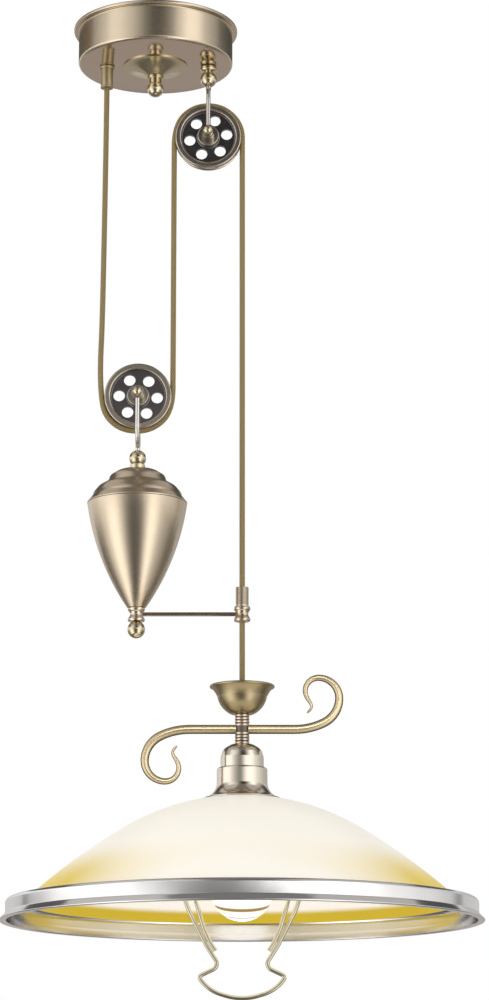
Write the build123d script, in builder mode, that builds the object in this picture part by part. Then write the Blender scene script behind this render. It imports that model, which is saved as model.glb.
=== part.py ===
from build123d import *
import os
from math import asin, cos, pi, radians, sin, sqrt

# A rise-and-fall pendant light. The cord leaves a gland in the ceiling canopy, goes down and round a pulley
# on the counterweight, up and over a pulley that hangs from the canopy, and down through a guide to the lamp.
# Origin: canopy axis on the ceiling. +X points to the lamp, +Z up, millimetres.

# Fits
thread_gap = 0.1          # radial play of a screwed or pushed-in joint
running_gap = 0.05        # radial play of a pulley bush on its axle
side_gap = 0.3            # end play beside a turning pulley
cord_gap = 0.3            # play between the cord and what guides it

# Layout: cord gland, middle run and lamp run stand one pulley diameter apart
lamp_offset = 86.0        # canopy axis to lamp axis
pulley_pitch_radius = 33.5
canopy_depth = 38.0
hanger_drop = 74.5        # canopy plate to upper axle
pulley_drop = 264.5       # upper axle to lower axle
lamp_drop = 545.4         # upper axle to the lip of the lamp cup
cord_diameter = 5.3

# Canopy and its ceiling fixing
canopy_radius = 76.2
canopy_sheet = 1.0
canopy_corner = 3.0
canopy_rim_reach = 4.8
canopy_rim_height = 3.6
bracket_length = 130.0
bracket_width = 22.0
bracket_thickness = 3.0
slot_spacing = 94.0
slot_length = 12.0
slot_width = 5.0
stud_radius = 4.0
stud_nut_flats = 13.0
stud_nut_height = 5.0
rosette_radius = 32.0
rosette_height = 10.0
rosette_sheet = 1.2
rosette_sag = 1.6         # how far the cone's side is drawn in
finial_collar_radius = 8.3
finial_collar_height = 3.5
finial_neck_radius = 6.2
finial_ball_radius = 8.2
finial_drop = 13.3        # rosette end to ball centre
block_length = 30.0
block_width = 20.0
block_height = 14.0
block_offset = 26.0       # canopy axis to the terminal block, along the bracket
terminal_pitch = 9.0
terminal_radius = 2.4
terminal_depth = 5.0
lead_bend = 15.0

# Cord gland
gland_radius = 6.0
gland_length = 22.5
gland_ring_radius = 7.4
gland_ring_height = 2.6
gland_lip_radius = 6.5
gland_lip_height = 1.6
gland_thread_radius = 5.0
gland_nut_flats = 15.0
gland_nut_height = 5.0

# Pulleys, axles and yokes
pulley_rim_radius = 32.5
pulley_rim_depth = 6.0
pulley_width = 11.0
pulley_inner_round = 1.8
pulley_outer_round = 1.4
web_thickness = 4.0
hub_radius = 10.7
hub_width = 16.0
web_hole_count = 6
web_hole_radius = 5.6
web_hole_circle = 18.4
upper_hole_turn = 9.4     # degrees
lower_hole_turn = -3.3
bush_wall = 1.7
axle_radius = 2.5
spacer_radius = 6.5
yoke_wire = 4.0
yoke_half_width = 18.0
yoke_height = 50.0        # axle to the crown of the bow
yoke_eye_radius = 6.2
yoke_eye_thickness = 4.6
yoke_spigot_radius = 2.5
cap_nut_radius = 4.9
cap_nut_base = 2.0        # straight part below the dome
ball_radius = 8.2
ball_gap = 11.2           # crown of the bow to the ball centre
hanger_collar_radius = 8.3
hanger_collar_height = 5.5
hanger_nut_flats = 13.0
hanger_nut_height = 5.0

# Counterweight
weight_collar_radius = 7.2
weight_collar_height = 3.7
weight_sheet = 1.2
weight_core_gap = 0.3
weight_cap_height = 34.8
weight_step_radius = 28.6
weight_step_height = 14.2
weight_shoulder_radius = 43.4
weight_flange_reach = 4.5  # shoulder to the edge of the flange
weight_bevel_height = 6.4
weight_shell_height = 101.0
weight_tail_radius = 8.9
weight_swell = 5.5        # how far the ogive swells past a straight cone
tie_rod_radius = 3.0
collar_radius = 6.0
collar_bead_radius = 8.2
collar_bead_height = 3.4
collar_height = 13.4
weight_finial_radius = 8.4
arm_radius = 1.95
arm_drop = 6.4            # collar top to the arm
sleeve_radius = 6.1
sleeve_rise = 25.8        # arm to the sleeve's top end
sleeve_drop = 7.0         # arm to the sleeve's lower end
sleeve_bead_radius = 7.9
sleeve_waist_radius = 5.9
guide_wall = 1.2

# Lamp: cup, neck, scrolls and bell
cup_radius = 30.4
cup_depth = 28.4
cup_sheet = 0.9
cup_lip_radius = 1.3
cup_foot_radius = 10.4
neck_radius = 7.0
neck_waist_radius = 6.2
neck_rib_count = 4
neck_rib_pitch = 2.95
neck_waist_height = 5.2
neck_bore_gap = 0.6
neck_thread_radius = 5.0
neck_thread_length = 9.0
grip_radius = 8.0
grip_height = 17.0
grip_screw_radius = 1.5
scroll_radius = 4.3
scroll_tip_radius = 1.2
scroll_spigot_radius = 2.4
scroll_spigot_length = 2.3
scroll_straight = 50.0    # lamp axis to the start of the curl
bell_height = 52.0
bell_sheet = 0.9
bell_dome_radius = 20.3
bell_dome_height = 22.4
bell_waist_radius = 23.7
bell_flange_radius = 36.2

# Lamp: shade, holder, bulb and handle
glass_thickness = 3.2
glass_hole_radius = 21.0
glass_crown_radius = 215.0
glass_crown_reach = 112.0
glass_skirt_radius = 585.0
glass_edge_radius = 204.5
rim_sheet = 0.5
rim_overlap = 3.9         # how far the ledge lies in over the edge of the glass
rim_ledge_width = 18.9
rim_corner = 3.5
rim_height = 19.5
rim_lip_reach = 6.0       # wall to the corner of the flared lip
rim_flare_height = 6.0
rim_hem_rise = 1.5        # how far the folded hem reaches above the flare
rim_hem_round = 0.6
holder_cap_radius = 17.4
holder_cap_height = 21.5
holder_radius = 19.4
holder_length = 54.0
holder_wall = 5.6
contact_radius = 4.0
contact_height = 2.5
shade_ring_height = 6.0
shade_ring_wall = 6.2
bulb_radius = 29.0
bulb_glass = 0.8
bulb_base_radius = 13.2
bulb_base_length = 26.0
bulb_neck_radius = 14.6
bulb_drop = 60.0          # holder mouth to the globe's centre
stem_radius = 4.5
stem_length = 48.0
handle_wire_radius = 2.0
handle_ring_radius = 24.6

# Stations worked out from the layout
weight_flange_radius = weight_shoulder_radius + weight_flange_reach
rim_ledge_radius = glass_edge_radius - rim_overlap
rim_wall_radius = rim_ledge_radius + rim_ledge_width
cap_nut_length = cap_nut_base + cap_nut_radius
upper_x = lamp_offset - pulley_pitch_radius
middle_x = lamp_offset - 2 * pulley_pitch_radius
lower_x = lamp_offset - 3 * pulley_pitch_radius
gland_x = lamp_offset - 4 * pulley_pitch_radius
cord_radius = cord_diameter / 2
cord_bore = cord_radius + cord_gap
plate_z = -canopy_depth
plate_inside_z = plate_z + canopy_sheet
upper_z = plate_z - hanger_drop
lower_z = upper_z - pulley_drop
gland_top_z = plate_inside_z + gland_nut_height + 3
hanger_ball_z = upper_z + yoke_height + ball_gap
weight_ball_z = lower_z - yoke_height - ball_gap
weight_top_z = weight_ball_z - ball_radius - weight_collar_height / 2
weight_joint_z = weight_top_z - weight_cap_height
weight_tail_z = weight_joint_z - weight_shell_height
collar_foot_z = weight_tail_z - collar_height
weight_finial_z = collar_foot_z - weight_finial_radius + 0.6
arm_z = weight_tail_z - arm_drop
cup_lip_z = upper_z - lamp_drop
neck_top_z = cup_lip_z - cup_depth
neck_length = 2 * neck_rib_count * neck_rib_pitch + neck_waist_height
neck_foot_z = neck_top_z - neck_length
neck_middle_z = (neck_top_z + neck_foot_z) / 2
neck_bore = cord_radius + neck_bore_gap
grip_foot_z = neck_top_z + cup_sheet
cord_end_z = grip_foot_z + grip_height / 2
bell_foot_z = neck_foot_z - bell_height
holder_top_z = neck_foot_z - bell_sheet
holder_body_z = holder_top_z - holder_cap_height
holder_mouth_z = holder_body_z - holder_length
glass_centre_z = bell_foot_z - sqrt(glass_crown_radius**2 - bell_flange_radius**2)
bulb_z = holder_mouth_z - bulb_drop

os.makedirs("parts", exist_ok=True)


# Writes one finished piece under its own name
def save(piece, label):
    piece.part.label = label
    export_step(piece.part, f"parts/{label}.step")


# Plane of a turned profile: x is the radius, y the height
def turning_plane(x):
    return Plane(origin=(x, 0, 0), x_dir=(1, 0, 0), z_dir=(0, -1, 0))


def turning_axis(x):
    return Axis((x, 0, 0), (0, 0, 1))


# Closed outline of a bored, turned piece: each station is a height, a radius and,
# where the stretch that ends there is a bead, the radius of its crest
def turned_outline(bore, stations):
    first_z, first_radius = stations[0]
    last = (first_radius, first_z)
    Line((bore, first_z), last)
    for z, radius, *crest in stations[1:]:
        if crest:
            ThreePointArc(last, (crest[0], (last[1] + z) / 2), (radius, z))
        else:
            Line(last, (radius, z))
        last = (radius, z)
    Polyline(last, (bore, last[1]), (bore, first_z))


# Hexagon nut with its lower face at foot_z
def hex_nut(x, foot_z, flats, height, bore):
    with BuildPart() as nut:
        with BuildSketch(Plane.XY.offset(foot_z)):
            with Locations((x, 0)):
                RegularPolygon(flats / 2, 6, major_radius=False)
                Circle(bore, mode=Mode.SUBTRACT)
        extrude(amount=height)
        chamfer(nut.faces().sort_by(Axis.Z)[-1].outer_wire().edges(), height / 12)
    return nut


# Canopy: spun cup with a rolled rim against the ceiling
with BuildPart() as canopy:
    with BuildSketch(Plane.XZ):
        with BuildLine():
            FilletPolyline(
                (canopy_radius - canopy_sheet, 0),
                (canopy_radius + canopy_rim_reach, 0),
                (canopy_radius + canopy_rim_reach, -canopy_rim_height),
                (canopy_radius, -canopy_rim_height),
                (canopy_radius, plate_z),
                (0, plate_z),
                (0, plate_inside_z),
                (canopy_radius - canopy_sheet, plate_inside_z),
                radius=[
                    0,
                    canopy_rim_height * 0.3,
                    canopy_rim_height * 0.45,
                    canopy_rim_height * 0.3,
                    canopy_corner,
                    0,
                    0,
                    canopy_corner - canopy_sheet,
                ],
                close=True,
            )
        make_face()
    revolve(axis=Axis.Z)
    with Locations((0, 0, plate_z), (upper_x, 0, plate_z)):
        Hole(stud_radius + thread_gap)
    with Locations((gland_x, 0, plate_z)):
        Hole(gland_thread_radius + thread_gap)
save(canopy, "canopy")

# Ceiling bracket: a strap with a slot for a ceiling screw at each end and a tapped hole for the stud
with BuildPart() as ceiling_bracket:
    with BuildSketch(Plane.XY.offset(-bracket_thickness)):
        RectangleRounded(bracket_width, bracket_length, bracket_width / 4)
        with GridLocations(0, slot_spacing, 1, 2):
            SlotOverall(slot_length, slot_width, rotation=90, mode=Mode.SUBTRACT)
        Circle(stud_radius + thread_gap, mode=Mode.SUBTRACT)
    extrude(amount=bracket_thickness)
save(ceiling_bracket, "ceiling_bracket")

# Stud that carries the canopy, from the strap down into the finial
rosette_foot_z = plate_z - rosette_height
finial_ball_z = rosette_foot_z - finial_drop
with BuildPart() as bracket_stud:
    with BuildSketch(Plane.XY.offset(finial_ball_z)):
        Circle(stud_radius)
    extrude(amount=-finial_ball_z - 0.2)
    chamfer(bracket_stud.edges().group_by(Axis.Z)[0], stud_radius / 8)
save(bracket_stud, "bracket_stud")

stud_nut = hex_nut(
    0, -bracket_thickness - stud_nut_height, stud_nut_flats, stud_nut_height, stud_radius + thread_gap
)
save(stud_nut, "stud_nut")

# Rosette: a spun cone between the canopy plate and the finial
with BuildPart() as rosette_washer:
    cone_middle = (rosette_radius + finial_collar_radius) / 2
    with BuildSketch(Plane.XZ):
        with BuildLine():
            cone_rim = (rosette_radius, plate_z - rosette_sheet)
            cone_end = (finial_collar_radius, rosette_foot_z)
            Polyline((rosette_radius - 2 * rosette_sheet, plate_z), (rosette_radius, plate_z), cone_rim)
            ThreePointArc(
                cone_rim,
                (cone_middle - rosette_sag / 2, plate_z - (rosette_sheet + rosette_height) / 2 + rosette_sag),
                cone_end,
            )
            Polyline(
                cone_end,
                (stud_radius + thread_gap, rosette_foot_z),
                (stud_radius + thread_gap, rosette_foot_z + rosette_sheet),
                (finial_collar_radius - rosette_sheet, rosette_foot_z + rosette_sheet),
            )
            ThreePointArc(
                (finial_collar_radius - rosette_sheet, rosette_foot_z + rosette_sheet),
                (cone_middle - 2 * rosette_sheet, plate_z - rosette_height / 2 + rosette_sag + rosette_sheet / 2),
                (rosette_radius - 2 * rosette_sheet, plate_z),
            )
        make_face()
    revolve(axis=Axis.Z)
save(rosette_washer, "rosette_washer")

# Finial: a ball nut that draws the canopy up to the ceiling
with BuildPart() as finial_nut:
    with BuildSketch(Plane.XY.offset(rosette_foot_z)):
        Circle(finial_collar_radius)
    extrude(amount=-finial_collar_height)
    fillet(finial_nut.edges().filter_by(GeomType.CIRCLE), finial_collar_height / 5)
    with BuildSketch(Plane.XY.offset(rosette_foot_z - finial_collar_height / 2)):
        Circle(finial_neck_radius)
    extrude(amount=-finial_drop + finial_collar_height / 2)
    with Locations((0, 0, finial_ball_z)):
        Sphere(finial_ball_radius)
    with Locations((0, 0, rosette_foot_z)):
        Hole(stud_radius + thread_gap, finial_drop + 1)
save(finial_nut, "finial_nut")

# Cord gland with its nut inside the canopy
with BuildPart() as cord_gland:
    gland_foot_z = plate_z - gland_length
    with BuildSketch(turning_plane(gland_x)):
        with BuildLine():
            turned_outline(
                cord_bore,
                [
                    (gland_top_z, gland_thread_radius),
                    (plate_z, gland_thread_radius),
                    (plate_z, gland_ring_radius - 0.6),
                    (plate_z - gland_ring_height, gland_ring_radius - 0.6, gland_ring_radius),
                    (plate_z - gland_ring_height, gland_radius),
                    (gland_foot_z + gland_lip_height, gland_radius),
                    (gland_foot_z, gland_radius, gland_lip_radius),
                ],
            )
        make_face()
    revolve(axis=turning_axis(gland_x))
save(cord_gland, "cord_gland")

gland_nut = hex_nut(
    gland_x, plate_inside_z, gland_nut_flats, gland_nut_height, gland_thread_radius + thread_gap
)
save(gland_nut, "gland_nut")

# Ball that hangs the upper yoke: a threaded stem up through the plate, a collar and a ball
with BuildPart() as hanger_ball:
    hanger_stem_z = plate_inside_z + hanger_nut_height + 2
    with BuildSketch(Plane.XY.offset(plate_z)):
        with Locations((upper_x, 0)):
            Circle(hanger_collar_radius)
    extrude(amount=-hanger_collar_height)
    fillet(hanger_ball.edges().filter_by(GeomType.CIRCLE), hanger_collar_height / 2.6)
    with BuildSketch(Plane.XY.offset(hanger_ball_z)):
        with Locations((upper_x, 0)):
            Circle(stud_radius)
    extrude(amount=hanger_stem_z - hanger_ball_z)
    with Locations((upper_x, 0, hanger_ball_z)):
        Sphere(ball_radius)
    with Locations((upper_x, 0, hanger_ball_z - ball_radius)):
        Cylinder(
            yoke_spigot_radius + thread_gap,
            ball_radius + 1,
            align=(Align.CENTER, Align.CENTER, Align.MIN),
            mode=Mode.SUBTRACT,
        )
save(hanger_ball, "hanger_ball")

hanger_nut = hex_nut(upper_x, plate_inside_z, hanger_nut_flats, hanger_nut_height, stud_radius + thread_gap)
save(hanger_nut, "hanger_nut")

# Terminal block under the strap, with a row of screws on each side
with BuildPart() as terminal_block:
    block_top = Plane.XY.offset(-bracket_thickness - block_height)
    with BuildSketch(block_top):
        with Locations((0, block_offset)):
            RectangleRounded(block_length, block_width, block_width / 12)
    extrude(amount=block_height)
    with BuildSketch(block_top):
        with Locations((0, block_offset)):
            with GridLocations(terminal_pitch, block_width / 2, 3, 2):
                Circle(terminal_radius + thread_gap)
    extrude(amount=terminal_depth, mode=Mode.SUBTRACT)
save(terminal_block, "terminal_block")

with BuildPart() as terminal_screws:
    with BuildSketch(block_top.offset(terminal_depth / 2)):
        with Locations((0, block_offset)):
            with GridLocations(terminal_pitch, block_width / 2, 3, 2):
                Circle(terminal_radius)
    extrude(amount=terminal_depth / 2)
save(terminal_screws, "terminal_screws")


# Round cord or wire of one radius along a path of straight runs and tangent arcs
def swept_wire(points, bends, radius):
    with BuildPart() as wire:
        with BuildLine() as route:
            FilletPolyline(*points, radius=bends)
        with BuildSketch(Plane(origin=route.line @ 0, z_dir=route.line % 0)):
            Circle(radius)
        sweep()
    length = route.wire().length
    ratio = wire.part.volume / (pi * radius**2 * length)
    print(f"route of {length:.1f} mm, bends {bends}, volume over section times length {ratio:.4f}")
    return wire


# Lead from the gland to the terminal block, inside the canopy
lead_z = -bracket_thickness - block_height / 2
canopy_lead = swept_wire(
    [
        (gland_x, 0, gland_top_z),
        (gland_x, 0, lead_z),
        (gland_x, block_offset, lead_z),
        (-block_length / 2, block_offset, lead_z),
    ],
    [lead_bend, lead_bend * 0.7],
    cord_radius,
)
save(canopy_lead, "canopy_lead")


# Pulley wheel: grooved rim, thin web with round holes, and a raised hub
def pulley_wheel(x, z, hole_turn):
    half_rim = pulley_width / 2
    half_web = web_thickness / 2
    half_hub = hub_width / 2
    rim_inside = pulley_rim_radius - pulley_rim_depth
    bore = axle_radius + running_gap + bush_wall + running_gap
    rim_rounds = [pulley_inner_round, pulley_outer_round]
    facing = Plane(origin=(x, 0, z), x_dir=(1, 0, 0), z_dir=(0, 0, 1))
    with BuildPart() as wheel:
        with BuildSketch(facing):
            with BuildLine():
                FilletPolyline(
                    (bore, -half_hub),
                    (hub_radius, -half_hub),
                    (hub_radius, -half_web),
                    (rim_inside, -half_web),
                    (rim_inside, -half_rim),
                    (pulley_rim_radius, -half_rim),
                    (pulley_rim_radius, half_rim),
                    (rim_inside, half_rim),
                    (rim_inside, half_web),
                    (hub_radius, half_web),
                    (hub_radius, half_hub),
                    (bore, half_hub),
                    radius=[0, 1.2, 1, 1, *rim_rounds, *reversed(rim_rounds), 1, 1, 1.2, 0],
                    close=True,
                )
            make_face()
            with Locations((pulley_pitch_radius, 0)):
                Circle(cord_bore, mode=Mode.SUBTRACT)
        revolve(axis=Axis((x, 0, z), (0, 1, 0)))
        with BuildSketch(Plane(origin=(x, 0, z), x_dir=(1, 0, 0), z_dir=(0, -1, 0))):
            with PolarLocations(web_hole_circle, web_hole_count, start_angle=hole_turn):
                Circle(web_hole_radius)
        extrude(amount=hub_width, both=True, mode=Mode.SUBTRACT)
    return wheel


# Plain tube along Y, centred on the axle, between two distances from the pulley's middle plane
def axle_tube(x, z, start, length, outer, bore):
    with BuildPart() as tube:
        with BuildSketch(Plane(origin=(x, start, z), x_dir=(1, 0, 0), z_dir=(0, 1, 0))):
            Circle(outer)
            if bore > 0:
                Circle(bore, mode=Mode.SUBTRACT)
        extrude(amount=length)
    return tube


# Yoke: a wire bow with an eye at each end and a threaded spigot on its crown; up is 1 or -1
def yoke(x, axle_z, up):
    side = Plane(origin=(x, 0, axle_z), x_dir=(0, 1, 0), z_dir=(1, 0, 0))
    shoulder = up * (yoke_height - yoke_half_width)
    foot = up * yoke_eye_radius * 0.8
    with BuildPart() as bow:
        with BuildLine(side) as route:
            Line((-yoke_half_width, foot), (-yoke_half_width, shoulder))
            ThreePointArc((-yoke_half_width, shoulder), (0, up * yoke_height), (yoke_half_width, shoulder))
            Line((yoke_half_width, shoulder), (yoke_half_width, foot))
        with BuildSketch(Plane(origin=route.line @ 0, z_dir=route.line % 0)):
            Circle(yoke_wire / 2)
        sweep()
        for y in (-yoke_half_width, yoke_half_width):
            with BuildSketch(Plane(origin=(x, y, axle_z), x_dir=(1, 0, 0), z_dir=(0, 1, 0))):
                Circle(yoke_eye_radius)
            extrude(amount=yoke_eye_thickness / 2, both=True)
        with BuildSketch(Plane(origin=(x, 0, axle_z), x_dir=(1, 0, 0), z_dir=(0, 1, 0))):
            Circle(axle_radius + thread_gap)
        extrude(amount=2 * yoke_half_width, both=True, mode=Mode.SUBTRACT)
        with BuildSketch(Plane.XY.offset(axle_z + up * yoke_height)):
            with Locations((x, 0)):
                Circle(yoke_spigot_radius)
        extrude(amount=up * ball_gap)
    return bow


# Domed cap nuts on both ends of an axle, each with a blind bore for it
def axle_caps(x, z):
    seat = yoke_half_width + yoke_eye_thickness / 2
    facing = Plane(origin=(x, 0, z), x_dir=(1, 0, 0), z_dir=(0, 0, 1))
    slant = radians(45)
    with BuildPart() as caps:
        for way in (-1, 1):
            dome_y = seat + cap_nut_base
            tip = (0, way * (dome_y + cap_nut_radius))
            with BuildSketch(facing):
                with BuildLine():
                    Polyline(tip, (0, way * seat), (cap_nut_radius, way * seat), (cap_nut_radius, way * dome_y))
                    ThreePointArc(
                        (cap_nut_radius, way * dome_y),
                        (cap_nut_radius * cos(slant), way * (dome_y + cap_nut_radius * sin(slant))),
                        tip,
                    )
                make_face()
            revolve(axis=Axis((x, 0, z), (0, 1, 0)))
            with BuildSketch(Plane(origin=(x, way * seat, z), x_dir=(1, 0, 0), z_dir=(0, way, 0))):
                Circle(axle_radius + thread_gap)
            extrude(amount=cap_nut_length * 0.65, mode=Mode.SUBTRACT)
    return caps


# Spacers that keep the hub clear of the yoke, one on each side
def axle_spacers(x, z):
    near = hub_width / 2 + side_gap
    far = yoke_half_width - yoke_eye_thickness / 2
    with BuildPart() as spacers:
        for way in (-1, 1):
            with BuildSketch(Plane(origin=(x, way * near, z), x_dir=(1, 0, 0), z_dir=(0, way, 0))):
                Circle(spacer_radius)
                Circle(axle_radius + thread_gap, mode=Mode.SUBTRACT)
            extrude(amount=far - near)
    return spacers


# Both pulley sets are alike: one hangs from the canopy, the other carries the counterweight
axle_half = yoke_half_width + yoke_eye_thickness / 2 + cap_nut_length * 0.6
bush_bore = axle_radius + running_gap
for set_name, x, z, up, hole_turn in (
    ("upper", upper_x, upper_z, 1, upper_hole_turn),
    ("lower", lower_x, lower_z, -1, lower_hole_turn),
):
    save(pulley_wheel(x, z, hole_turn), f"{set_name}_pulley")
    save(axle_tube(x, z, -hub_width / 2, hub_width, bush_bore + bush_wall, bush_bore), f"{set_name}_pulley_bush")
    save(axle_tube(x, z, -axle_half, 2 * axle_half, axle_radius, 0), f"{set_name}_axle")
    save(axle_spacers(x, z), f"{set_name}_axle_spacers")
    save(axle_caps(x, z), f"{set_name}_axle_caps")
    save(yoke(x, z, up), f"{set_name}_yoke")


# Half outline of the counterweight, drawn in from its outside by an inset; it is turned about the axis
def weight_section(inset):
    reach = 2 * weight_flange_radius
    with BuildSketch(turning_plane(lower_x)) as section:
        with BuildLine():
            FilletPolyline(
                (0, weight_top_z),
                (weight_step_radius * 0.62, weight_top_z - weight_cap_height * 0.06),
                (weight_step_radius * 0.93, weight_top_z - weight_cap_height * 0.22),
                (weight_step_radius, weight_top_z - weight_step_height),
                (weight_step_radius + 3, weight_top_z - weight_step_height - 0.8),
                (weight_shoulder_radius * 0.86, weight_top_z - weight_cap_height * 0.53),
                (weight_shoulder_radius * 0.98, weight_top_z - weight_cap_height * 0.72),
                (weight_shoulder_radius, weight_joint_z + weight_bevel_height),
                (weight_flange_radius, weight_joint_z + 1.2),
                (weight_flange_radius, weight_joint_z),
                radius=[12, 6, 0.4, 1.2, 10, 6, 1.2, 0.8],
            )
            ogive_middle = (weight_flange_radius + weight_tail_radius) / 2
            ThreePointArc(
                (weight_flange_radius, weight_joint_z),
                (ogive_middle + weight_swell, (weight_joint_z + weight_tail_z) / 2 - weight_swell / 2),
                (weight_tail_radius, weight_tail_z),
            )
            Line((weight_tail_radius, weight_tail_z), (0, weight_tail_z))
            mirror(about=Plane.YZ)
        make_face()
        if inset > 0:
            offset(amount=-inset, mode=Mode.REPLACE)
        with Locations((reach / 2, weight_joint_z)):
            Rectangle(reach, 4 * reach, mode=Mode.INTERSECT)
    return section


# Hollow case of the counterweight, bored for the tie rod and parted at its flange into a cap and a shell
def weight_case(kept_end):
    block = 4 * weight_flange_radius
    outside = weight_section(0).sketch_local
    inside = weight_section(weight_sheet).sketch_local
    with BuildPart() as case:
        with BuildSketch(turning_plane(lower_x)):
            add(outside)
            add(inside, mode=Mode.SUBTRACT)
            with Locations((tie_rod_radius + thread_gap, weight_joint_z)):
                Rectangle(block, block, align=(Align.MIN, kept_end), mode=Mode.INTERSECT)
        revolve(axis=turning_axis(lower_x))
    return case


save(weight_case(Align.MIN), "counterweight_cap")
save(weight_case(Align.MAX), "counterweight_shell")

# Cast iron filling that makes the weight
core_section = weight_section(weight_sheet + weight_core_gap).sketch_local
with BuildPart() as counterweight_core:
    with BuildSketch(turning_plane(lower_x)):
        add(core_section)
        with Locations((tie_rod_radius + thread_gap, weight_joint_z)):
            Rectangle(
                weight_flange_radius,
                2 * (weight_cap_height + weight_shell_height),
                align=(Align.MIN, Align.CENTER),
                mode=Mode.INTERSECT,
            )
    revolve(axis=turning_axis(lower_x))
save(counterweight_core, "counterweight_core")

# Ball on top of the counterweight, screwed to the yoke above and the tie rod below
with BuildPart() as counterweight_ball:
    with BuildSketch(Plane.XY.offset(weight_top_z)):
        with Locations((lower_x, 0)):
            Circle(weight_collar_radius)
    extrude(amount=weight_collar_height)
    with Locations((lower_x, 0, weight_ball_z)):
        Sphere(ball_radius)
    with BuildSketch(Plane.XY.offset(weight_ball_z - 1)):
        with Locations((lower_x, 0)):
            Circle(yoke_spigot_radius + thread_gap)
    extrude(amount=ball_radius + 2, mode=Mode.SUBTRACT)
    with BuildSketch(Plane.XY.offset(weight_top_z - 2)):
        with Locations((lower_x, 0)):
            Circle(tie_rod_radius + thread_gap)
    extrude(amount=ball_radius, mode=Mode.SUBTRACT)
    with BuildSketch(Plane.XY.offset(weight_top_z - 2 * ball_radius)):
        with Locations((lower_x, 0)):
            Circle(2 * ball_radius)
    extrude(amount=2 * ball_radius, mode=Mode.SUBTRACT)
save(counterweight_ball, "counterweight_ball")

# Rod that ties ball, cap, core, shell, collar and finial together
with BuildPart() as tie_rod:
    rod_foot_z = weight_finial_z
    with BuildSketch(Plane.XY.offset(rod_foot_z)):
        with Locations((lower_x, 0)):
            Circle(tie_rod_radius)
    extrude(amount=weight_top_z + ball_radius / 2 - rod_foot_z)
save(tie_rod, "tie_rod")

# Guide arm from the collar to the sleeve
arm_start_x = lower_x + tie_rod_radius + 2 * thread_gap
arm_end_x = lamp_offset - cord_bore - guide_wall - 2 * thread_gap
with BuildPart() as guide_arm:
    with BuildSketch(Plane(origin=(arm_start_x, 0, arm_z), x_dir=(0, 1, 0), z_dir=(1, 0, 0))):
        Circle(arm_radius)
    extrude(amount=arm_end_x - arm_start_x)
save(guide_arm, "guide_arm")


# Cross hole for the guide arm, cut in the piece being built
def arm_hole(start_x, length):
    with Locations(Location((start_x, 0, arm_z), (0, 90, 0))):
        Cylinder(
            arm_radius + thread_gap, length, align=(Align.CENTER, Align.CENTER, Align.MIN), mode=Mode.SUBTRACT
        )


# Spool-shaped collar under the counterweight: a bead at each end and a hollow waist
with BuildPart() as counterweight_collar:
    bead_edge = collar_bead_radius - 0.6
    with BuildSketch(turning_plane(lower_x)):
        with BuildLine():
            turned_outline(
                tie_rod_radius + thread_gap,
                [
                    (weight_tail_z, bead_edge),
                    (weight_tail_z - collar_bead_height, bead_edge, collar_bead_radius),
                    (collar_foot_z + collar_bead_height, bead_edge, collar_radius),
                    (collar_foot_z, bead_edge, collar_bead_radius),
                ],
            )
        make_face()
    revolve(axis=turning_axis(lower_x))
    arm_hole(lower_x, 2 * collar_bead_radius)
save(counterweight_collar, "counterweight_collar")

# Ball finial that closes the foot of the counterweight
with BuildPart() as counterweight_finial:
    with Locations((lower_x, 0, weight_finial_z)):
        Sphere(weight_finial_radius)
    with BuildSketch(Plane.XY.offset(weight_finial_z - 1)):
        with Locations((lower_x, 0)):
            Circle(tie_rod_radius + thread_gap)
    extrude(amount=2 * weight_finial_radius, mode=Mode.SUBTRACT)
    with BuildSketch(Plane.XY.offset(collar_foot_z)):
        with Locations((lower_x, 0)):
            Circle(2 * weight_finial_radius)
    extrude(amount=weight_finial_radius, mode=Mode.SUBTRACT)
save(counterweight_finial, "counterweight_finial")

# Guide sleeve that the lamp's run of cord slides through, and its nylon liner
sleeve_top_z = arm_z + sleeve_rise
sleeve_foot_z = arm_z - sleeve_drop
with BuildPart() as guide_sleeve:
    bead_edge = sleeve_bead_radius - 0.6
    with BuildSketch(turning_plane(lamp_offset)):
        with BuildLine():
            turned_outline(
                cord_bore + guide_wall + thread_gap,
                [
                    (sleeve_top_z, sleeve_radius),
                    (arm_z + sleeve_drop, sleeve_radius),
                    (arm_z + sleeve_drop, bead_edge),
                    (arm_z + sleeve_drop - collar_bead_height, bead_edge, sleeve_bead_radius),
                    (sleeve_foot_z + collar_bead_height, bead_edge, sleeve_waist_radius),
                    (sleeve_foot_z, bead_edge, sleeve_bead_radius),
                ],
            )
        make_face()
    revolve(axis=turning_axis(lamp_offset))
    arm_hole(lamp_offset - 2 * sleeve_bead_radius, 2 * sleeve_bead_radius)
save(guide_sleeve, "guide_sleeve")

with BuildPart() as guide_bush:
    with BuildSketch(Plane.XY.offset(sleeve_foot_z)):
        with Locations((lamp_offset, 0)):
            Circle(cord_bore + guide_wall)
            Circle(cord_bore, mode=Mode.SUBTRACT)
    extrude(amount=sleeve_top_z - sleeve_foot_z)
save(guide_bush, "guide_bush")

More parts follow.
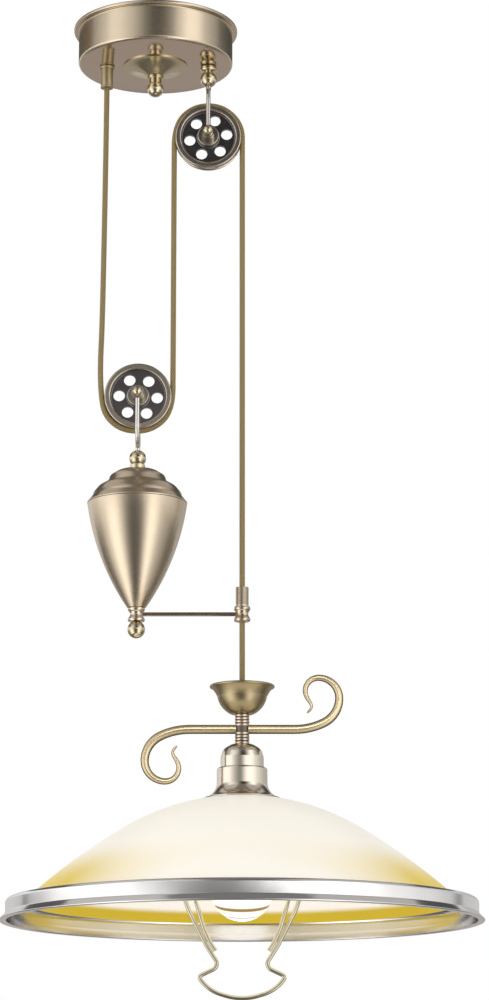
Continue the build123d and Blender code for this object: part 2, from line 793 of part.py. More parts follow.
# Lamp cup: an open ogee bowl with a rolled lip
with BuildPart() as lamp_cup:
    cup_flare_z = cup_lip_z - cup_depth * 0.4
    cup_waist = cup_radius * 0.76
    with BuildSketch(turning_plane(lamp_offset)):
        with BuildLine() as cup_side:
            lip_start = (cup_radius, cup_lip_z - cup_lip_radius)
            waist_point = (cup_waist, cup_flare_z)
            foot_point = (cup_foot_radius, neck_top_z + cup_sheet / 2)
            ThreePointArc(
                lip_start,
                ((cup_radius + cup_waist) / 2 - 0.9, (lip_start[1] + cup_flare_z) / 2 - 0.2),
                waist_point,
            )
            ThreePointArc(
                waist_point,
                ((cup_waist + cup_foot_radius) / 2 + 2.0, (cup_flare_z + foot_point[1]) / 2 - 1.6),
                foot_point,
            )
            Line(foot_point, (neck_thread_radius + thread_gap, foot_point[1]))
        trace(line_width=cup_sheet)
        with Locations(lip_start):
            Circle(cup_lip_radius)
    revolve(axis=turning_axis(lamp_offset))
save(lamp_cup, "lamp_cup")

# Ribbed neck, bored for the cord, with a threaded end in the cup and another in the bell
with BuildPart() as lamp_neck:
    waist_top_z = neck_middle_z + neck_waist_height / 2
    waist_foot_z = neck_middle_z - neck_waist_height / 2
    valley = neck_waist_radius - 0.2
    upper_ribs = [(neck_top_z - i * neck_rib_pitch, valley, neck_radius) for i in range(1, neck_rib_count + 1)]
    lower_ribs = [(waist_foot_z - i * neck_rib_pitch, valley, neck_radius) for i in range(1, neck_rib_count + 1)]
    with BuildSketch(turning_plane(lamp_offset)):
        with BuildLine():
            turned_outline(
                neck_bore,
                [
                    (neck_top_z + neck_thread_length, neck_thread_radius),
                    (neck_top_z, neck_thread_radius),
                    (neck_top_z, valley),
                    *upper_ribs,
                    (waist_top_z, neck_waist_radius),
                    (waist_foot_z, neck_waist_radius),
                    (waist_foot_z, valley),
                    *lower_ribs,
                    (neck_foot_z, neck_thread_radius),
                    (neck_foot_z - neck_thread_length, neck_thread_radius),
                ],
            )
        make_face()
    revolve(axis=turning_axis(lamp_offset))
    socket_depth = scroll_spigot_length + thread_gap
    for way in (-1, 1):
        socket_x = lamp_offset + way * neck_waist_radius
        with BuildSketch(Plane(origin=(socket_x, 0, neck_middle_z), x_dir=(0, 1, 0), z_dir=(way, 0, 0))):
            Circle(scroll_spigot_radius + thread_gap)
        extrude(amount=-socket_depth, mode=Mode.SUBTRACT)
save(lamp_neck, "lamp_neck")

# Cord grip in the cup, screwed on the neck, with its clamping screw
grip_top_z = grip_foot_z + grip_height
grip_screw_z = (cord_end_z + grip_top_z) / 2
with BuildPart() as cord_grip:
    thread_top_z = neck_top_z + neck_thread_length + thread_gap
    with BuildSketch(turning_plane(lamp_offset)):
        with BuildLine():
            Polyline(
                (neck_thread_radius + thread_gap, grip_foot_z),
                (grip_radius, grip_foot_z),
                (grip_radius, grip_top_z - 2),
                (grip_radius - 2, grip_top_z),
                (cord_bore, grip_top_z),
                (cord_bore, thread_top_z),
                (neck_thread_radius + thread_gap, thread_top_z),
                close=True,
            )
        make_face()
    revolve(axis=turning_axis(lamp_offset))
    with BuildSketch(Plane(origin=(lamp_offset, 0, grip_screw_z), x_dir=(1, 0, 0), z_dir=(0, -1, 0))):
        Circle(grip_screw_radius + thread_gap)
    extrude(amount=2 * grip_radius, mode=Mode.SUBTRACT)
save(cord_grip, "cord_grip")

with BuildPart() as grip_screw:
    with BuildSketch(Plane(origin=(lamp_offset, -cord_bore, grip_screw_z), x_dir=(1, 0, 0), z_dir=(0, -1, 0))):
        Circle(grip_screw_radius)
    extrude(amount=grip_radius - cord_bore + 0.8)
save(grip_screw, "grip_screw")


# Bends of a scroll, from the bar to the tip: turn in degrees, bend radius and count of short lengths.
# Each length is a little thinner than the one before
scroll_turns = [26, 64, 90, 120, 6, -62]
scroll_bends = [62.0, 26.0, 19.5, 12.5, 80.0, 5.0]
scroll_length_count = [3, 5, 6, 7, 3, 3]


# Scroll arm: a round bar that thins into a curl; way is 1 for the right arm and -1 for the left
def scroll_arm(way):
    thinning = (scroll_radius - scroll_tip_radius) / sum(scroll_length_count)
    reach, rise, heading, radius = scroll_straight, 0.0, 0.0, scroll_radius
    with BuildPart() as arm:
        with BuildSketch(Plane(origin=(lamp_offset, 0, neck_middle_z), x_dir=(0, 1, 0), z_dir=(way, 0, 0))):
            Circle(scroll_radius)
        extrude(amount=scroll_straight)
        with Locations((lamp_offset, 0, neck_middle_z)):
            Cylinder(neck_radius + thread_gap, 3 * scroll_radius, mode=Mode.SUBTRACT)
        for turn, bend, count in zip(scroll_turns, scroll_bends, scroll_length_count):
            left = 1 if turn > 0 else -1
            step = radians(turn) / count
            for _ in range(count):
                radius -= thinning
                spot = (lamp_offset + way * reach, 0, neck_middle_z + way * rise)
                along = (way * cos(heading), 0, way * sin(heading))
                pivot_reach = reach - left * bend * sin(heading)
                pivot_rise = rise + left * bend * cos(heading)
                pivot = (lamp_offset + way * pivot_reach, 0, neck_middle_z + way * pivot_rise)
                with BuildSketch(Plane(origin=spot, x_dir=(0, 1, 0), z_dir=along)):
                    Circle(radius)
                revolve(axis=Axis(pivot, (0, -left, 0)), revolution_arc=abs(turn) / count)
                heading += step
                reach = pivot_reach + left * bend * sin(heading)
                rise = pivot_rise - left * bend * cos(heading)
        spigot_x = lamp_offset + way * (neck_waist_radius - scroll_spigot_length)
        with BuildSketch(Plane(origin=(spigot_x, 0, neck_middle_z), x_dir=(0, 1, 0), z_dir=(way, 0, 0))):
            Circle(scroll_spigot_radius)
        extrude(amount=scroll_spigot_length + scroll_radius / 2)
    return arm


save(scroll_arm(-1), "scroll_left")
save(scroll_arm(1), "scroll_right")

# Bell cap: a domed top, a wider waist and a flare that rests on the glass
with BuildPart() as bell_cap:
    half_sheet = bell_sheet / 2
    dome = bell_dome_radius - half_sheet
    waist = bell_waist_radius - half_sheet
    top_z = neck_foot_z - half_sheet
    step_z = neck_foot_z - bell_dome_height
    flare_z = bell_foot_z + bell_height * 0.28
    with BuildSketch(turning_plane(lamp_offset)):
        with BuildLine():
            FilletPolyline(
                (neck_thread_radius + thread_gap, top_z),
                (dome * 0.52, top_z),
                (dome * 0.9, top_z - 4.6),
                (dome, top_z - 12),
                (dome + 0.1, step_z),
                (waist, step_z - 0.6),
                (waist + 0.1, flare_z),
                radius=[6, 8, 9, 0.6, 1.4],
            )
            ThreePointArc(
                (waist + 0.1, flare_z),
                (waist + 2.9, bell_foot_z + 7.2),
                (bell_flange_radius - half_sheet, bell_foot_z + bell_sheet),
            )
        trace(line_width=bell_sheet)
    revolve(axis=turning_axis(lamp_offset))
save(bell_cap, "bell_cap")


# Point on the glass, at a depth below its outer face: crown and skirt are arcs that run into each other
crown_angle = asin(glass_crown_reach / glass_crown_radius)
skirt_shift = glass_skirt_radius - glass_crown_radius
skirt_angle = asin((glass_edge_radius + skirt_shift * sin(crown_angle)) / glass_skirt_radius)


def crown_point(angle, depth):
    radius = glass_crown_radius - depth
    return (radius * sin(angle), glass_centre_z + radius * cos(angle))


def skirt_point(angle, depth):
    radius = glass_skirt_radius - depth
    return (
        radius * sin(angle) - skirt_shift * sin(crown_angle),
        glass_centre_z + radius * cos(angle) - skirt_shift * cos(crown_angle),
    )


# Glass shade: a blown dome with a hole for the lamp holder
with BuildPart() as glass_shade:
    hole_outer = asin(glass_hole_radius / glass_crown_radius)
    hole_inner = asin(glass_hole_radius / (glass_crown_radius - glass_thickness))
    middle_skirt = (crown_angle + skirt_angle) / 2
    with BuildSketch(turning_plane(lamp_offset)):
        with BuildLine():
            ThreePointArc(
                crown_point(hole_outer, 0), crown_point(crown_angle / 2, 0), crown_point(crown_angle, 0)
            )
            ThreePointArc(skirt_point(crown_angle, 0), skirt_point(middle_skirt, 0), skirt_point(skirt_angle, 0))
            Line(skirt_point(skirt_angle, 0), skirt_point(skirt_angle, glass_thickness))
            ThreePointArc(
                skirt_point(skirt_angle, glass_thickness),
                skirt_point(middle_skirt, glass_thickness),
                skirt_point(crown_angle, glass_thickness),
            )
            ThreePointArc(
                crown_point(crown_angle, glass_thickness),
                crown_point(crown_angle / 2, glass_thickness),
                crown_point(hole_inner, glass_thickness),
            )
            Line(crown_point(hole_inner, glass_thickness), crown_point(hole_outer, 0))
        make_face()
    revolve(axis=turning_axis(lamp_offset))
save(glass_shade, "glass_shade")

# Metal rim that rests on the skirt of the glass: a flat ledge, a wall, a flared lip and a hem folded up inside
ledge_angle = asin((rim_ledge_radius + skirt_shift * sin(crown_angle)) / glass_skirt_radius)
ledge_z = skirt_point(ledge_angle, 0)[1] + rim_sheet / 2 + thread_gap
rim_lip_z = ledge_z - rim_height
rim_middle = rim_wall_radius - rim_sheet / 2
hem_middle = rim_middle - rim_sheet - 2 * thread_gap
with BuildPart() as shade_rim:
    with BuildSketch(turning_plane(lamp_offset)):
        with BuildLine():
            FilletPolyline(
                (rim_ledge_radius, ledge_z),
                (rim_middle, ledge_z),
                (rim_middle, rim_lip_z + rim_flare_height),
                (rim_wall_radius + rim_lip_reach, rim_lip_z),
                (hem_middle, rim_lip_z),
                (hem_middle, rim_lip_z + rim_flare_height + rim_hem_rise),
                radius=[rim_corner, 2 * rim_hem_round, rim_hem_round, rim_hem_round],
            )
        trace(line_width=rim_sheet)
    revolve(axis=turning_axis(lamp_offset))
save(shade_rim, "shade_rim")

# Lamp holder: a threaded cap, a body and the centre contact
with BuildPart() as holder_cap:
    with BuildSketch(turning_plane(lamp_offset)):
        with BuildLine():
            FilletPolyline(
                (neck_thread_radius + thread_gap, holder_top_z),
                (neck_thread_radius + 2.5, holder_top_z),
                (holder_cap_radius, holder_top_z - 9),
                (holder_cap_radius, holder_body_z),
                (holder_cap_radius - 3, holder_body_z),
                (holder_cap_radius - 3, holder_top_z - neck_thread_length),
                (neck_thread_radius + thread_gap, holder_top_z - neck_thread_length),
                radius=[0, 1, 5, 0, 0, 1, 0],
                close=True,
            )
        make_face()
    revolve(axis=turning_axis(lamp_offset))
save(holder_cap, "holder_cap")

socket_radius = holder_radius - holder_wall
socket_top_z = holder_mouth_z + bulb_base_length + contact_height
with BuildPart() as holder_body:
    with BuildSketch(Plane.XY.offset(holder_mouth_z)):
        with Locations((lamp_offset, 0)):
            Circle(holder_radius)
    extrude(amount=holder_length)
    chamfer(holder_body.edges().group_by(Axis.Z)[0], 0.6)
    with BuildSketch(Plane.XY.offset(holder_mouth_z)):
        with Locations((lamp_offset, 0)):
            Circle(socket_radius)
    extrude(amount=bulb_base_length + contact_height, mode=Mode.SUBTRACT)
save(holder_body, "holder_body")

with BuildPart() as holder_contact:
    with BuildSketch(Plane.XY.offset(socket_top_z)):
        with Locations((lamp_offset, 0)):
            Circle(contact_radius)
    extrude(amount=-contact_height)
save(holder_contact, "holder_contact")

# Lead from the cord grip through the neck into the holder cap
with BuildPart() as lamp_lead:
    lead_foot_z = (holder_top_z - neck_thread_length + holder_body_z) / 2
    with BuildSketch(Plane.XY.offset(lead_foot_z)):
        with Locations((lamp_offset, 0)):
            Circle(cord_radius)
    extrude(amount=cord_end_z - lead_foot_z)
save(lamp_lead, "lamp_lead")

# Wire ring of the handle, clamped under the glass by the threaded shade ring
ring_angle = asin(handle_ring_radius / (glass_crown_radius - glass_thickness - handle_wire_radius))
handle_ring_z = crown_point(ring_angle, glass_thickness + handle_wire_radius + thread_gap)[1]
with BuildPart() as handle_ring:
    with BuildSketch(turning_plane(lamp_offset)):
        with Locations((handle_ring_radius, handle_ring_z)):
            Circle(handle_wire_radius)
    revolve(axis=turning_axis(lamp_offset))
save(handle_ring, "handle_ring")

with BuildPart() as shade_ring:
    with BuildSketch(Plane.XY.offset(handle_ring_z - handle_wire_radius)):
        with Locations((lamp_offset, 0)):
            Circle(holder_radius + thread_gap + shade_ring_wall)
            Circle(holder_radius + thread_gap, mode=Mode.SUBTRACT)
    extrude(amount=-shade_ring_height)
    chamfer(shade_ring.edges().group_by(Axis.Z)[0], 0.5)
save(shade_ring, "shade_ring")

# Right half of the pull handle's wire, from the ring to the foot: distance from the axis, drop below the ring
handle_right = [
    (handle_ring_radius + handle_wire_radius + thread_gap, 0.4),
    (50.0, 6.4),
    (62.0, 61.0),
    (50.0, 98.5),
    (33.0, 132.0),
    (20.7, 150.8),
    (40.6, 160.2),
    (30.6, 173.0),
]
handle_bends = [12, 40, 60, 45, 6, 3, 37]
handle_foot_drop = 182.2
handle_foot_bend = 52


def handle_point(side, reach, drop):
    return (lamp_offset + side * reach, 0, handle_ring_z - drop)


pull_handle = swept_wire(
    [handle_point(-1, *spot) for spot in handle_right]
    + [handle_point(0, 0, handle_foot_drop)]
    + [handle_point(1, *spot) for spot in reversed(handle_right)],
    handle_bends + [handle_foot_bend] + handle_bends[::-1],
    handle_wire_radius,
)
save(pull_handle, "pull_handle")

# Inner struts of the handle, welded under the shoulder of the outer wire and beside it near the waist
strut_right = [(38.0, 6.3), (46.5, 66.0), (42.6, 92.0), (35.2, 117.0), (29.4, 129.2), (24.7, 136.4)]
strut_bends = [60, 70, 80, 60]
with BuildPart() as handle_struts:
    for side in (-1, 1):
        strut = swept_wire([handle_point(side, *spot) for spot in strut_right], strut_bends, handle_wire_radius)
        add(strut.part)
save(handle_struts, "handle_struts")


# Outline of the bulb's globe and neck, drawn in by the thickness of its glass
def bulb_section(inset):
    globe = bulb_radius - inset
    neck = bulb_neck_radius - inset
    shoulder_angle = radians(48)
    shoulder = (globe * cos(shoulder_angle), bulb_z + globe * sin(shoulder_angle))
    with BuildSketch(turning_plane(lamp_offset)) as section:
        with BuildLine():
            ThreePointArc((0, bulb_z - globe), (globe, bulb_z), shoulder)
            ThreePointArc(
                shoulder,
                (neck * 0.55 + shoulder[0] * 0.45 - 1.2, (shoulder[1] + holder_mouth_z) / 2),
                (neck, holder_mouth_z - 0.4),
            )
            Polyline((neck, holder_mouth_z - 0.4), (0, holder_mouth_z - 0.4), (0, bulb_z - globe))
        make_face()
    return section


with BuildPart() as bulb_globe:
    add(bulb_section(0).sketch)
    revolve(axis=turning_axis(lamp_offset))
    add(bulb_section(bulb_glass).sketch)
    revolve(axis=turning_axis(lamp_offset), mode=Mode.SUBTRACT)
save(bulb_globe, "bulb_globe")

# Screw base of the bulb, with a rolled thread
with BuildPart() as bulb_base:
    turns = 5
    thread_pitch = bulb_base_length / (turns + 2)
    base_foot_z = holder_mouth_z - 0.4
    thread_top_z = base_foot_z + bulb_base_length
    thread = [
        (thread_top_z - (i + 1) * thread_pitch, bulb_base_radius - 0.8, bulb_base_radius) for i in range(1, turns + 1)
    ]
    with BuildSketch(turning_plane(lamp_offset)):
        with BuildLine():
            turned_outline(
                0,
                [
                    (thread_top_z, contact_radius),
                    (thread_top_z - thread_pitch, bulb_base_radius - 0.8),
                    *thread,
                    (base_foot_z, bulb_base_radius - 0.8),
                ],
            )
        make_face()
    revolve(axis=turning_axis(lamp_offset))
save(bulb_base, "bulb_base")

# Glass stem inside the bulb that carries the filament
with BuildPart() as bulb_stem:
    with BuildSketch(Plane.XY.offset(base_foot_z)):
        with Locations((lamp_offset, 0)):
            Circle(stem_radius)
    with BuildSketch(Plane.XY.offset(base_foot_z - stem_length)):
        with Locations((lamp_offset, 0)):
            Circle(stem_radius / 2)
    loft()
save(bulb_stem, "bulb_stem")


# Straight, taut run of cord
def cord_run(x, top_z, foot_z):
    with BuildPart() as run:
        with BuildSketch(Plane.XY.offset(foot_z)):
            with Locations((x, 0)):
                Circle(cord_radius)
        extrude(amount=top_z - foot_z)
    return run


# Half turn of cord round a pulley, under it or over it
def cord_wrap(x, z, over):
    with BuildPart() as wrap:
        with BuildSketch(Plane.XY.offset(z)):
            with Locations((x - pulley_pitch_radius, 0)):
                Circle(cord_radius)
        revolve(axis=Axis((x, 0, z), (0, over, 0)), revolution_arc=180)
    return wrap


print(f"cord bends at both pulleys: {pulley_pitch_radius} mm")
save(cord_run(gland_x, gland_top_z, lower_z), "cord_left")
save(cord_wrap(lower_x, lower_z, -1), "cord_lower_wrap")
save(cord_run(middle_x, upper_z, lower_z), "cord_middle")
save(cord_wrap(upper_x, upper_z, 1), "cord_upper_wrap")
save(cord_run(lamp_offset, upper_z, cord_end_z), "cord_right")
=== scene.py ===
import math

import bmesh
import bpy
import numpy as np
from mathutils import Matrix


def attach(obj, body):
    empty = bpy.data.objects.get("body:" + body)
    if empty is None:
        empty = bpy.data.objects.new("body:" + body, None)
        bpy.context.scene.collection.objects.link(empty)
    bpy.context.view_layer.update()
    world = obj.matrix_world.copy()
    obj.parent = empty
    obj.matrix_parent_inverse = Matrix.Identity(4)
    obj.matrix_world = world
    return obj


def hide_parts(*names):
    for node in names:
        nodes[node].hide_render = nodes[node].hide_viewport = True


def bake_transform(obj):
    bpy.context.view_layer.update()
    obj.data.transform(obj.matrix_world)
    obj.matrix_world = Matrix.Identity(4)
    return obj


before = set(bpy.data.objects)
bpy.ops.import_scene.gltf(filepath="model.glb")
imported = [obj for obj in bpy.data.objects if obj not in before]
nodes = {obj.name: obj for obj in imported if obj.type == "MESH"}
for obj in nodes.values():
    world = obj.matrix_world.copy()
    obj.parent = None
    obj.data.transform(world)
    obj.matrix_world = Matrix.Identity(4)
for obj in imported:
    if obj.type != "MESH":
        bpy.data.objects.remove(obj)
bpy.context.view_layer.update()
scene = bpy.context.scene
fullTurn = 2 * math.pi
lampAxis = 0.086  # x of the lamp's own axis, which is upright
print("frame:", len(nodes), "nodes")

# camera: in front of the lamp and below the shade, looking a little upwards; the image is 489 x 1000
shot = {"place": (0.0882, -2.759, -1.1192), "tiltUp": 0.228, "lens": 106.4, "sensor": 36.0, "farEnd": 80.0}


def placeCamera():
    eye = bpy.data.cameras.new("shotCamera")
    eye.lens = shot["lens"]
    eye.sensor_width = shot["sensor"]
    eye.clip_end = shot["farEnd"]
    rig = bpy.data.objects.new("shotCamera", eye)
    rig.location = shot["place"]
    rig.rotation_euler = (math.pi / 2 + shot["tiltUp"], 0.0, 0.0)
    scene.collection.objects.link(rig)
    scene.camera = rig


placeCamera()
print("camera placed")

# meshes: an edge that bends more than sharpFrom shows as an edge
meshing = {"sharpFrom": math.radians(38), "turnSteps": 192, "cornerSteps": 8, "shortest": 1e-7}


# grid of points to quads: point (i, j) joins (i+1, j), (i+1, j+1) and (i, j+1), and a closed way wraps round.
# uv has one more row or column where the grid closes, so that the last quad ends at 1 and not at 0
def gridPiece(name, points, uv, closeU=False, closeV=False, capEnds=False):
    rows, cols = points.shape[:2]
    i, j = np.meshgrid(np.arange(rows - (not closeU)), np.arange(cols - (not closeV)), indexing="ij")
    i, j = i.ravel(), j.ravel()
    iNext, jNext = (i + 1) % rows, (j + 1) % cols
    quads = np.stack([i * cols + j, iNext * cols + j, iNext * cols + jNext, i * cols + jNext], -1)
    loopUv = np.stack([uv[i, j], uv[i + 1, j], uv[i + 1, j + 1], uv[i, j + 1]], 1).reshape(-1, 2)
    faces = quads.tolist()
    if capEnds:
        faces += [list(range(cols)), list(range((rows - 1) * cols, rows * cols))]
        loopUv = np.concatenate([loopUv, uv[0, :cols], uv[rows - 1, :cols]])
    mesh = bpy.data.meshes.new(name)
    mesh.from_pydata(points.reshape(-1, 3).tolist(), [], faces)
    layer = mesh.uv_layers.new(name="UVMap")
    layer.data.foreach_set("uv", loopUv.astype(np.float32).ravel())
    work = bmesh.new()
    work.from_mesh(mesh)
    bmesh.ops.recalc_face_normals(work, faces=work.faces)
    work.to_mesh(mesh)
    work.free()
    mesh.shade_smooth()
    mesh.set_sharp_from_angle(angle=meshing["sharpFrom"])
    piece = bpy.data.objects.new(name, mesh)
    scene.collection.objects.link(piece)
    return piece


# length gone along a line at each of its points: the sum of the steps before it
def lengthAlong(line):
    return np.concatenate([[0.0], np.cumsum(np.linalg.norm(np.diff(line, axis=0), axis=1))])


# vectors divided by their length
def unit(vectors):
    return vectors / np.linalg.norm(vectors, axis=1, keepdims=True)


# turned piece: x = axisX + radius cos(angle), y = radius sin(angle), z = height,
# for every angle and every (radius, height) of a closed profile
def turnedPiece(name, profile, axisX, steps=meshing["turnSteps"]):
    angle = np.arange(steps) * fullTurn / steps
    radius, height = profile.T
    x = axisX + np.outer(np.cos(angle), radius)
    y = np.outer(np.sin(angle), radius)
    points = np.stack([x, y, np.broadcast_to(height, x.shape)], -1)
    along = lengthAlong(np.concatenate([profile, profile[:1]]))
    uv = np.stack(np.meshgrid(np.arange(steps + 1) / steps, along, indexing="ij"), -1)
    return gridPiece(name, points, uv, closeU=True, closeV=True)


# round wire along a line in the upright plane: at each point a ring of the wire's radius,
# spanned by the Y axis and the line's own side direction (tangent turned a quarter)
def wirePiece(name, path, radius, sides, flat=1.0, vStart=0.0):
    across = np.array([0.0, 1.0, 0.0])
    side = np.cross(unit(np.gradient(path, axis=0)), across)
    angle = (np.arange(sides) * fullTurn / sides)[None, :, None]
    radius = np.broadcast_to(radius, len(path))[:, None, None]
    flat = np.broadcast_to(flat, len(path))[:, None, None]
    ring = np.cos(angle) * side[:, None, :] / flat + np.sin(angle) * across * flat
    points = path[:, None, :] + radius * ring
    along = vStart + lengthAlong(path)
    uv = np.stack(np.meshgrid(along, np.arange(sides + 1) / sides, indexing="ij")[::-1], -1)
    return gridPiece(name, points, uv, closeV=True, capEnds=True)


# profile with rounded corners: each corner is a rational quadratic from its first to its last tangent point,
# weighted by the cosine of half the turn, which is a true arc
def rounded(corners, radii, steps=meshing["cornerSteps"]):
    corner = np.array(corners, float)
    radius = np.array(radii, float)[:, None]
    into = unit(corner - np.roll(corner, 1, 0))
    out = unit(np.roll(corner, -1, 0) - corner)
    half = np.arccos(np.clip((into * out).sum(1, keepdims=True), -1, 1)) / 2
    reach = radius * np.tan(half)
    first, last = (corner - into * reach)[:, None], (corner + out * reach)[:, None]
    weight = np.cos(half)[:, None]
    share = np.linspace(0, 1, steps)[None, :, None]
    before, between, after = (1 - share) ** 2, 2 * weight * share * (1 - share), share**2
    bent = before * first + between * corner[:, None] + after * last
    line = (bent / (before + between + after)).reshape(-1, 2)
    return line[np.linalg.norm(line - np.roll(line, 1, 0), axis=1) > meshing["shortest"]]


# circle through three points, from the first to the last by even steps of the angle at its centre
def arcThrough(first, middle, last, steps):
    first, middle, last = (complex(*point) for point in (first, middle, last))
    ratio = (last - first) / (middle - first)
    centre = first + (middle - first) * (ratio - abs(ratio) ** 2) / (2j * ratio.imag)
    start, via, end = (np.angle(point - centre) for point in (first, middle, last))
    sweep = (end - start) % fullTurn
    if (via - start) % fullTurn > sweep:
        sweep -= fullTurn
    ring = centre + abs(first - centre) * np.exp(1j * (start + sweep * np.linspace(0, 1, steps)))
    return np.stack([ring.real, ring.imag], -1)


# sheet of metal along a line: the line moved to both sides by half the sheet, joined into one closed profile
def sheetProfile(line, half):
    tangent = unit(np.gradient(line, axis=0))
    normal = np.stack([-tangent[:, 1], tangent[:, 0]], -1) * np.broadcast_to(half, len(line))[:, None]
    return np.concatenate([line + normal, (line - normal)[::-1]])


# second material on a turned piece: the faces between two rows of its profile get slot 1
def tagFaces(piece, rows, first, last):
    row = np.arange(len(piece.data.polygons)) % rows
    piece.data.polygons.foreach_set("material_index", ((row >= first) & (row < last)).astype(np.int32))


# cord: from the gland under the lower pulley, over the upper one and down to the lamp, drawn in two lengths
cordRun = {
    "diameter": 0.0053, "sides": 20, "splineOrder": 3, "splineSteps": 24,
    "weightRoute": [
        (-0.048, 0, -0.03), (-0.048, 0, -0.095), (-0.0498, 0, -0.3), (-0.0516, 0, -0.345),
        (-0.0504, 0, -0.376), (-0.0462, 0, -0.3965), (-0.0284, 0, -0.411), (-0.0006, 0, -0.4105),
        (0.019, 0, -0.3909), (0.019, 0, -0.345), (0.019, 0, -0.145), (0.019, 0, -0.0986),
        (0.0386, 0, -0.079), (0.0664, 0, -0.079), (0.086, 0, -0.0986), (0.086, 0, -0.1125),
    ],
    "lampRoute": [(0.086, 0, -0.1125), (0.086, 0, -0.145), (0.086, 0, -0.6769)],
    # where each length starts to follow the body that draws it along, and where it follows it fully
    "weightBlend": ((0, 0, -0.1125), (0, 0, -0.34)),
    "lampBlend": ((0.086, 0, -0.1125), (0.086, 0, -0.66)),
}


# points of a route's smooth line, read from a NURBS spline that has the route as its control points
def smoothLine(name, route):
    curve = bpy.data.curves.new(name + "Line", "CURVE")
    curve.dimensions = "3D"
    curve.resolution_u = cordRun["splineSteps"]
    spline = curve.splines.new("NURBS")
    spline.points.add(len(route) - 1)
    spline.points.foreach_set("co", np.column_stack([np.array(route, float), np.ones(len(route))]).ravel())
    spline.order_u = cordRun["splineOrder"]
    spline.use_endpoint_u = True
    holder = bpy.data.objects.new(name + "Line", curve)
    scene.collection.objects.link(holder)
    line = bpy.data.meshes.new_from_object(holder)
    flat = np.zeros(len(line.vertices) * 3)
    line.vertices.foreach_get("co", flat)
    bpy.data.objects.remove(holder)
    bpy.data.meshes.remove(line)
    bpy.data.curves.remove(curve)
    return flat.reshape(-1, 3)


# length of cord: a wire along its smooth line, in place of the carried-over cord nodes, which are hidden
def makeCord(name, route, vStart, moved, blendFrom, blendTo, cadNodes):
    line = smoothLine(name, route)
    length = float(np.linalg.norm(np.diff(line, axis=0), axis=1).sum())
    tube = wirePiece(name, line, cordRun["diameter"] / 2, cordRun["sides"], vStart=vStart)
    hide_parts(*cadNodes)
    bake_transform(tube)
    print("cord", name, "length", round(length, 4))
    return tube, vStart + length


weightCord, weightLength = makeCord(
    "weightCord", cordRun["weightRoute"], 0.0, "counterweight_body", *cordRun["weightBlend"],
    ["cord_left", "cord_lower_wrap", "cord_middle", "cord_upper_wrap"])
lampCord, wholeLength = makeCord(
    "lampCord", cordRun["lampRoute"], weightLength, "lamp_body", *cordRun["lampBlend"], ["cord_right"])
print("whole cord", round(wholeLength, 4))

# canopy: spun cup with a rolled rim against the ceiling; rimRounds are shares of the rim's height
canopyCup = {
    "wall": 0.0762, "sheet": 0.001, "depth": 0.038, "rimReach": 0.0048, "rimHeight": 0.0036, "corner": 0.003,
    "rimRounds": (0.3, 0.45, 0.3), "studHole": 0.0041, "plateRows": 1,
}


def makeCanopy():
    spec = canopyCup
    wall, hole, low, rimLow = spec["wall"], spec["studHole"], -spec["depth"], -spec["rimHeight"]
    rimOut, inner, floor = wall + spec["rimReach"], wall - spec["sheet"], low + spec["sheet"]
    corners = [(hole, low), (wall, low), (wall, rimLow), (rimOut, rimLow), (rimOut, 0), (inner, 0),
               (inner, floor), (hole, floor)]
    rimRounds = [share * spec["rimHeight"] for share in spec["rimRounds"]]
    profile = rounded(corners, [0, spec["corner"], *rimRounds, 0, spec["corner"] - spec["sheet"], 0])
    piece = turnedPiece("canopyCup", profile, 0.0)
    tagFaces(piece, len(profile), 0, spec["plateRows"])
    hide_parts("canopy")
    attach(piece, "canopy_body")
    return piece


canopyPiece = makeCanopy()

# counterweight: a stepped cap and an ogive shell that meet at a flange.
# The cap's curves are shares of the step's or the shoulder's radius, with shares of the cap's height
weightCase = {
    "axisX": -0.0145, "top": -0.44825, "joint": -0.48305, "tail": -0.58405, "step": 0.0286,
    "stepHeight": 0.0142, "shoulder": 0.0434, "flange": 0.0479, "bevel": 0.0064, "tailRadius": 0.0089,
    "swell": 0.0055, "sheet": 0.0012, "bore": 0.0031, "flangeWidth": 0.006, "flangeEdge": 0.0012,
    "gap": 0.0004, "inset": 0.0002, "crownSheet": 0.003, "stepCurve": [(0.62, 0.06), (0.93, 0.22)],
    "stepLedge": (0.003, 0.0008), "shoulderCurve": [(0.86, 0.53), (0.98, 0.72)], "sideSteps": 72,
    "capRounds": [0, 0.012, 0.006, 0.0004, 0.0012, 0.01, 0.006, 0.0012, 0.0008, 0.0004, 0, 0],
}


